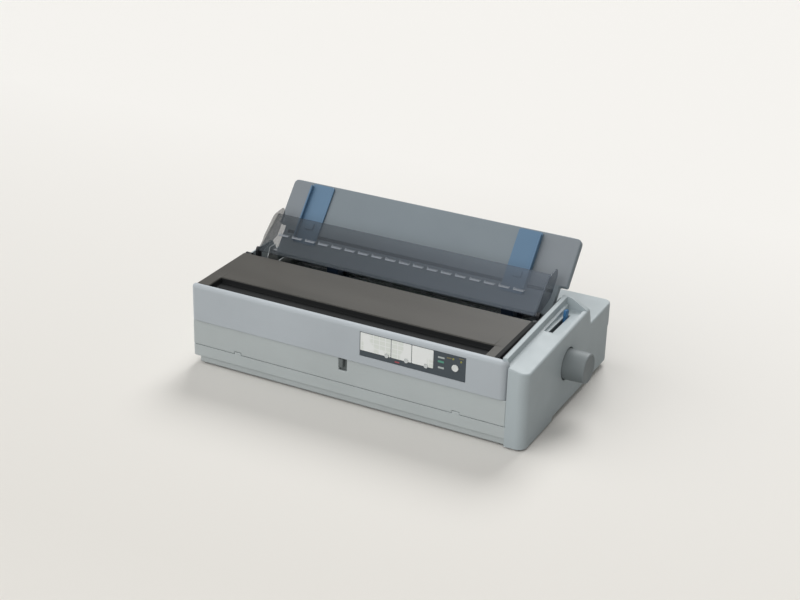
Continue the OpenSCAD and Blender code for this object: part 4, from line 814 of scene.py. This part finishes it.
def guide_cover():
    """Sloping panel and two side cheeks as plates, and a scale: fine marks on a bar for each ten columns."""
    def at(s, n):
        return on_hood(0.0, s, n)[1:]

    thick, side = 2.6, 2.4
    panel = eased([at(-HOOD_FOOT, 0), at(-HOOD_FOOT, -thick), at(HOOD_LEN, -thick), at(HOOD_LEN, 0)], 0.9, 5)
    shells = [slab(panel, HOOD_X0 + side, HOOD_X1 - side, 0.3, "x")]
    outline = [at(0, 0.4), at(12, 0.4), at(20, 3.5), at(HOOD_LEN - 8, 7), [HOOD_Y + 76, HOOD_Z + 45],
               [HOOD_Y + 79, HOOD_Z + 40], [HOOD_Y + 79, HOOD_Z + 30], [HOOD_Y + 54, HOOD_Z + 1],
               [185, 142], [178, 138.6], [172, 139.2], [168, 143.5], [169, 149]]
    edge = eased(outline, [0.8, 3, 3, 8, 3, 2, 5, 5, 3, 2, 2, 2, 1.5], 6)
    shells += [slab(edge, x, x + thick, 0.8, "x") for x in (HOOD_X0, HOOD_X1 - thick)]
    piece("guide_cover_skin", shells, m_hood, "guide_cover", ["guide_cover"])
    column, groups, marks, first_x = 2.54, 18, 8, 46.0
    low_s, bar_h, mark_w, tall_h, short_h, bite = 28.4, 2.2, 1.1, 3.4, 2.0, 0.05
    starts = first_x + 10 * column * np.arange(groups)
    bars = [(x, low_s, (marks - 1) * column, bar_h) for x in starts]
    ticks = [(x + column * i, low_s + bar_h - bite, mark_w, short_h if i else tall_h)
             for x in starts for i in range(marks)]
    x, s, w, h = np.array(bars + ticks).T[..., None]
    corner = rect(0, 0, 1, 1)
    x, s = x + corner[:, 0] * w, s + corner[:, 1] * h
    points = np.concatenate([on_hood(x, s, 0.02), on_hood(x, s, 0.35)], 1).reshape(-1, 3)
    cube = np.array([[3, 2, 1, 0], [4, 5, 6, 7], [0, 1, 5, 4], [1, 2, 6, 5], [2, 3, 7, 6], [3, 0, 4, 7]])
    faces = (np.arange(len(x))[:, None, None] * 8 + cube[None]).reshape(-1, 4).tolist()
    piece("guide_scale_ticks", [(points, faces)], m_scale, "guide_cover", ["guide_scale"])


def sheet_guide():
    """Leaning tray: a wall round its outline and a face, with margins, ribs, pivot bosses and a track."""
    low_l, low_r, left, right, foot = 30.0, 536.0, 17.0, 549.0, 48.0
    outline = [[low_l, -4], [low_r, -4], [low_r, foot], [right, foot], [right, GUIDE_LEN], [left, GUIDE_LEN],
               [left, foot], [low_l, foot]]
    loop = eased(outline, [3, 3, 3, 3, 9, 9, 3, 3], 7)
    t = np.linspace(0, np.pi / 2, 5)
    rings = [(0, 5.0), (0, -2.0)] + [(2 * (1 - np.cos(a)), -3 - 2 * np.sin(a)) for a in t] + [(2.4, -5.0)]
    points, faces = carried(loop, rings, True, (False, True))
    tray = moved((points[:, [0, 2, 1]], faces), lean)
    piece("sheet_guide_tray", [tray], m_guide, "sheet_guide", ["sheet_guide"], 2.4, 0.3, (0, -1, 1))
    wings = []
    for a, b in ((left + 1.5, left + 36.0), (right - 62.0, right - 1.5)):
        wing = slab(eased(rect(a, foot + 1, b, GUIDE_LEN - 2), [1, 1, 5, 6]), -5.25, -4.9, 0.14, "y")
        wings.append(moved(wing, lean))
    piece("guide_margins", wings, m_wing, "sheet_guide")
    low, w = -2.4, 3
    bars = [slab(eased(rect(x, a, x + w, b), 0.6), low, 3.4, 0.5, "y")
            for x in np.linspace(60, 500, 8) for a, b in ((4, 27), (47, GUIDE_LEN - 4))]
    bars += [slab(eased(rect(low_l + 3, s, low_r - 3, s + w), 0.6), low, 2.4, 0.5, "y") for s in (24, 100)]
    bosses = [turned([[x, 3.2], [x + 0.8, 4.0], [x + 7.2, 4.0], [x + 8, 3.2]], (0, 0, 0))
              for x in (low_l, low_r - 8)]
    piece("guide_ribs", [moved(b, lean) for b in bars + bosses], m_guide, "sheet_guide")
    track = slab(eased(rect(38, 34, 528, 40), 1.5), -5.12, -4.6, 0.05, "y")
    piece("guide_track", [moved(track, lean)], m_frame, "sheet_guide")


def edge_guide(name, x, fence_x):
    """Blue stop: a plate, a fence along its outer side, a grip, a foot in the track and a plate behind."""
    w, low = 42.0, 20
    mid = x + w / 2
    shells = [slab(eased(rect(x, low, x + w, GUIDE_LEN - 3), [3, 3, 5, 5], 7), -8.3, -5.3, 0.9, "y"),
              slab(eased(rect(fence_x, low, fence_x + 3, GUIDE_LEN - 8), 0.9), -15.3, -8.0, 0.9, "y"),
              slab(eased(rect(mid - 8, 46, mid + 8, 58), 2), -10.4, -8.2, 0.9, "y"),
              slab(eased(rect(mid - 7, 34.3, mid + 7, 39.7), 0.8), -5.5, -1.6, 0.3, "y"),
              slab(eased(rect(mid - 9, 29, mid + 9, 45), 1.5), -1.7, 0.3, 0.5, "y")]
    piece(name + "_skin", [moved(s, lean) for s in shells], m_blue, name, [name])


# Control panel --------------------------------------------------------------------------------------

def notched(x0, x1, z0, z1, x, corner=1.2):
    """Label plate's outline: a rectangle with round corners and an arc, round the button, bitten out below.

    The arc's ends are where the button's clearance circle meets the lower edge, asin((button z - z0) / r)
    below level.
    """
    r = BUTTON_R + 0.3
    dip = np.degrees(np.arcsin((BUTTON_Z - z0) / r))
    return np.vstack([arc(x0 + corner, z0 + corner, corner, 180, 270, 5),
                      arc(x, BUTTON_Z, r, 180 + dip, -dip, 17),
                      arc(x1 - corner, z0 + corner, corner, 270, 360, 5),
                      arc(x1 - corner, z1 - corner, corner, 0, 90, 5),
                      arc(x0 + corner, z1 - corner, corner, 90, 180, 5)])


def button(name, x, z, r, n, finish):
    """Button cap: turned, with a dished face, a rounded rim and a flange at its back."""
    profile = [[-0.55, 0.02], [-0.6, 0.5 * r], [-0.78, r - 0.7], [-0.8, r - 0.5], [-0.72, r - 0.2],
               [-0.45, r], [4.8, r], [4.8, r + 1.2], [5.5, r + 1.2], [5.6, r + 1.0], [5.6, 0.02]]
    piece(name + "_cap", [turned(profile, (x, 0, z), n, "y")], finish, name, [name])


def printed(name, marks, finish):
    """Printed marks on the panel plate: small slabs, each given by its middle, width and height."""
    shells = [slab(eased(rect(x - w / 2, z - h / 2, x + w / 2, z + h / 2), h * 0.3, 4),
                   PLATE_Y - 0.12, PLATE_Y + 0.05, 0.03, "y", 1) for x, z, w, h in marks]
    piece(name, shells, finish, "root")


def control_panel():
    """Dark plate in the window, pale label plates, buttons, lamps and printed marks."""
    x0, x1, z0, z1 = PANEL_X + 0.3, PANEL_X + PANEL_W - 0.3, PANEL_Z + 0.3, PANEL_Z + PANEL_H - 0.3
    plate = slab(eased(rect(x0, z0, x1, z1), 1.5), PLATE_Y, 3.0, 0.35, "y")
    flange = slab(eased(rect(x0 - 4, z0 - 4, x1 + 4, z1 + 1.4), 1), 3.0, 4.5, 0.4, "y")
    piece("panel_plate", [plate, flange], m_panel, "root", ["control_panel"])
    xs = [PANEL_X + 1.2, PANEL_X + 55, PANEL_X + 90, PANEL_X + 127]
    labels = [slab(notched(a, b - 1, PANEL_Z + 10, PANEL_Z + 40, x), 0.1, 0.62, 0.15, "y")
              for a, b, x in zip(xs[:-1], xs[1:], BUTTON_XS)]
    piece("panel_label_plates", labels, m_label, "root", ["panel_labels"])
    for x, name in zip(BUTTON_XS, ("line_feed_button", "form_feed_button", "tear_off_button")):
        button(name, x, BUTTON_Z, BUTTON_R, 40, m_silver)
    button("pause_button", PAUSE_X, PAUSE_Z, PAUSE_R, 48, m_white)
    dome = [[0.02, 0.02], [0.06, 0.7], [0.2, 1.3], [0.42, 1.65], [0.7, 1.8], [4.5, 1.8], [4.5, 2.8],
            [5.2, 2.8], [5.2, 0.02]]
    lenses = [turned(dome, (x, 0, z), 32, "y") for x, z in ((470.0, 127.0), (483.0, 125.0))]
    piece("lamp_lenses", lenses, m_lens, "root", ["led_lenses"])
    printed("panel_mark_red", [(376, 97.5, 8, 2.2)], m_red)
    printed("panel_mark_green", [(449.5, 117.5, 10, 3.2)], m_green)
    printed("panel_marks_pale", [(450, 124.5, 11, 2.6), (450, 107.5, 10, 3)], m_pale)
    printed("panel_marks_amber", [(463, 127, 8, 2), (483, 130.2, 8, 1.4)], m_amber)


# Knob and lever -------------------------------------------------------------------------------------

def knob():
    """Turned knob: a slightly tapered barrel, with a rounded end and a sunk middle in a shallow ring."""
    x0, x1, r, round_r, sunk_x = 584.0, 626.0, 25.0, 2.5, 625.1
    t = np.radians(np.linspace(0, 90, 7))
    corner = np.c_[x1 - round_r + round_r * np.sin(t), r - 3.3 + round_r * np.cos(t)]
    barrel = [[x0, 0.02], [x0, r - 1], [x0 + 0.6, r - 0.2], [x0 + 2, r], [x1 - 2.9, r - 0.8]]
    face = [[x1, r - 4.5], [x1 - 0.5, r - 5.0], [sunk_x, r - 5.8], [sunk_x, 6], [sunk_x, 0.02]]
    profile = np.vstack([barrel, corner, face])
    piece("feed_knob", [turned(profile, (0, PLATEN_Y, PLATEN_Z), 96)], m_knob, "platen", ["platen_knob"])


def lever():
    """Lever: a rounded bar with a wider grip at its end, turned forward round its pivot."""
    x, y0, z0, turn = 563.5, 185.0, 66.0, np.radians(13.5)
    outline = np.vstack([arc(0, 0, 8, 150, 390, 13), [[4, 10], [4, 76], [-4, 76], [-4, 10]]])
    bar = slab(outline, 0, 5, 0.7, "x")
    grip = slab(eased(rect(-7, 74, 6, 86), 3, 7), 0.0, 5.0, 1.4, "x", 4)

    def place(p):
        y, z = p[:, 1], p[:, 2]
        c, s = np.cos(turn), np.sin(turn)
        return np.c_[p[:, 0] + x, y0 + y * c + z * s, z0 - y * s + z * c]

    shells = [moved(bar, place), moved(grip, place)]
    piece("release_lever_grip", shells, m_lever, "release_lever", ["release_lever"])


for build in (fascia, lower_case, tower, ridge, left_wall, deck, door, latch, cover_pieces, guide_cover,
              sheet_guide, control_panel, knob, lever):
    build()
edge_guide("edge_guide_left", 56.0, 56.0)
edge_guide("edge_guide_right", 442.0, 481.0)


# Floor, light and camera ----------------------------------------------------------------------------

def floor():
    """Wide floor: a level grid in metres, whose rear rows curve up along a quarter of an ellipse."""
    bend_y, per_radian, radius = 9, 2, 1.5
    x = np.linspace(-9, 9, 19)[None, :]
    v = np.linspace(-4, 12, 33)[:, None]
    t = np.clip((v - bend_y) / per_radian, 0, np.pi / 2)
    points, faces = field(x, np.minimum(v, bend_y + radius * np.sin(t)), radius * (1 - np.cos(t)))
    mesh = bpy.data.meshes.new("floor")
    mesh.from_pydata(points.tolist(), [], faces)
    mesh.shade_smooth()
    f = Finish("floor_pale", Roughness=0.9)
    # Painted shade: the floor seen by the camera darkens from its rear towards the front; other rays meet a
    # darker floor
    seen_painted_falloff = f.blend(f.between(f.parts()[1], -0.65, 0.9), srgb(228, 225, 219), srgb(246, 244, 240))
    camera_ray = f.node("ShaderNodeLightPath", out="Is Camera Ray")
    f.put(Base_Color=f.blend(camera_ray, srgb(178, 177, 174), seen_painted_falloff))
    mesh.materials.append(f.material)
    obj = bpy.data.objects.new("floor", mesh)
    bpy.context.scene.collection.objects.link(obj)


def sun(name, towards, energy, spread):
    """Sun whose light comes from a direction, as wide as the spread in degrees."""
    lamp = bpy.data.lights.new(name, "SUN")
    lamp.energy, lamp.angle = energy, np.radians(spread)
    obj = bpy.data.objects.new(name, lamp)
    z = np.array(towards) / np.linalg.norm(towards)
    x = np.cross([0, 0, 1], z)
    x /= np.linalg.norm(x)
    obj.matrix_world = Matrix((x, np.cross(z, x), z)).transposed().to_4x4()
    bpy.context.scene.collection.objects.link(obj)


def light():
    """Even sky, a soft sun from above and behind, and a very wide one from the left front."""
    world = bpy.data.worlds.new("sky")
    bpy.context.scene.world = world
    world.use_nodes = True
    sky = world.node_tree.nodes["Background"]
    sky.inputs["Color"].default_value = (1.0, 0.995, 0.985, 1)
    sky.inputs["Strength"].default_value = 0.30
    sun("soft_key", (-0.1, 0.72, 0.7), 1.62, 30)
    sun("wide_fill", (-0.5, -0.74, 0.45), 2.05, 110)


# Where the camera is, in metres, and how it is turned: solved from the straight edges in the photograph
EYE = (1.03329, -2.07003, 1.17487)
TURN = ((0.884676, -0.214744, 0.413804), (0.465468, 0.356922, -0.809905), (0.026227, 0.909116, 0.415716))


def camera():
    """Camera at the photograph's angle: a long lens a little above and to the right, slightly rolled."""
    data = bpy.data.cameras.new("camera")
    data.lens, data.sensor_width = 70.65, 36
    data.clip_start, data.clip_end = 0.05, 60
    obj = bpy.data.objects.new("camera", data)
    obj.matrix_world = Matrix.Translation(EYE) @ Matrix(TURN).to_4x4()
    bpy.context.scene.collection.objects.link(obj)
    bpy.context.scene.camera = obj


floor()
light()
camera()
bpy.context.scene.view_settings.view_transform = "Standard"
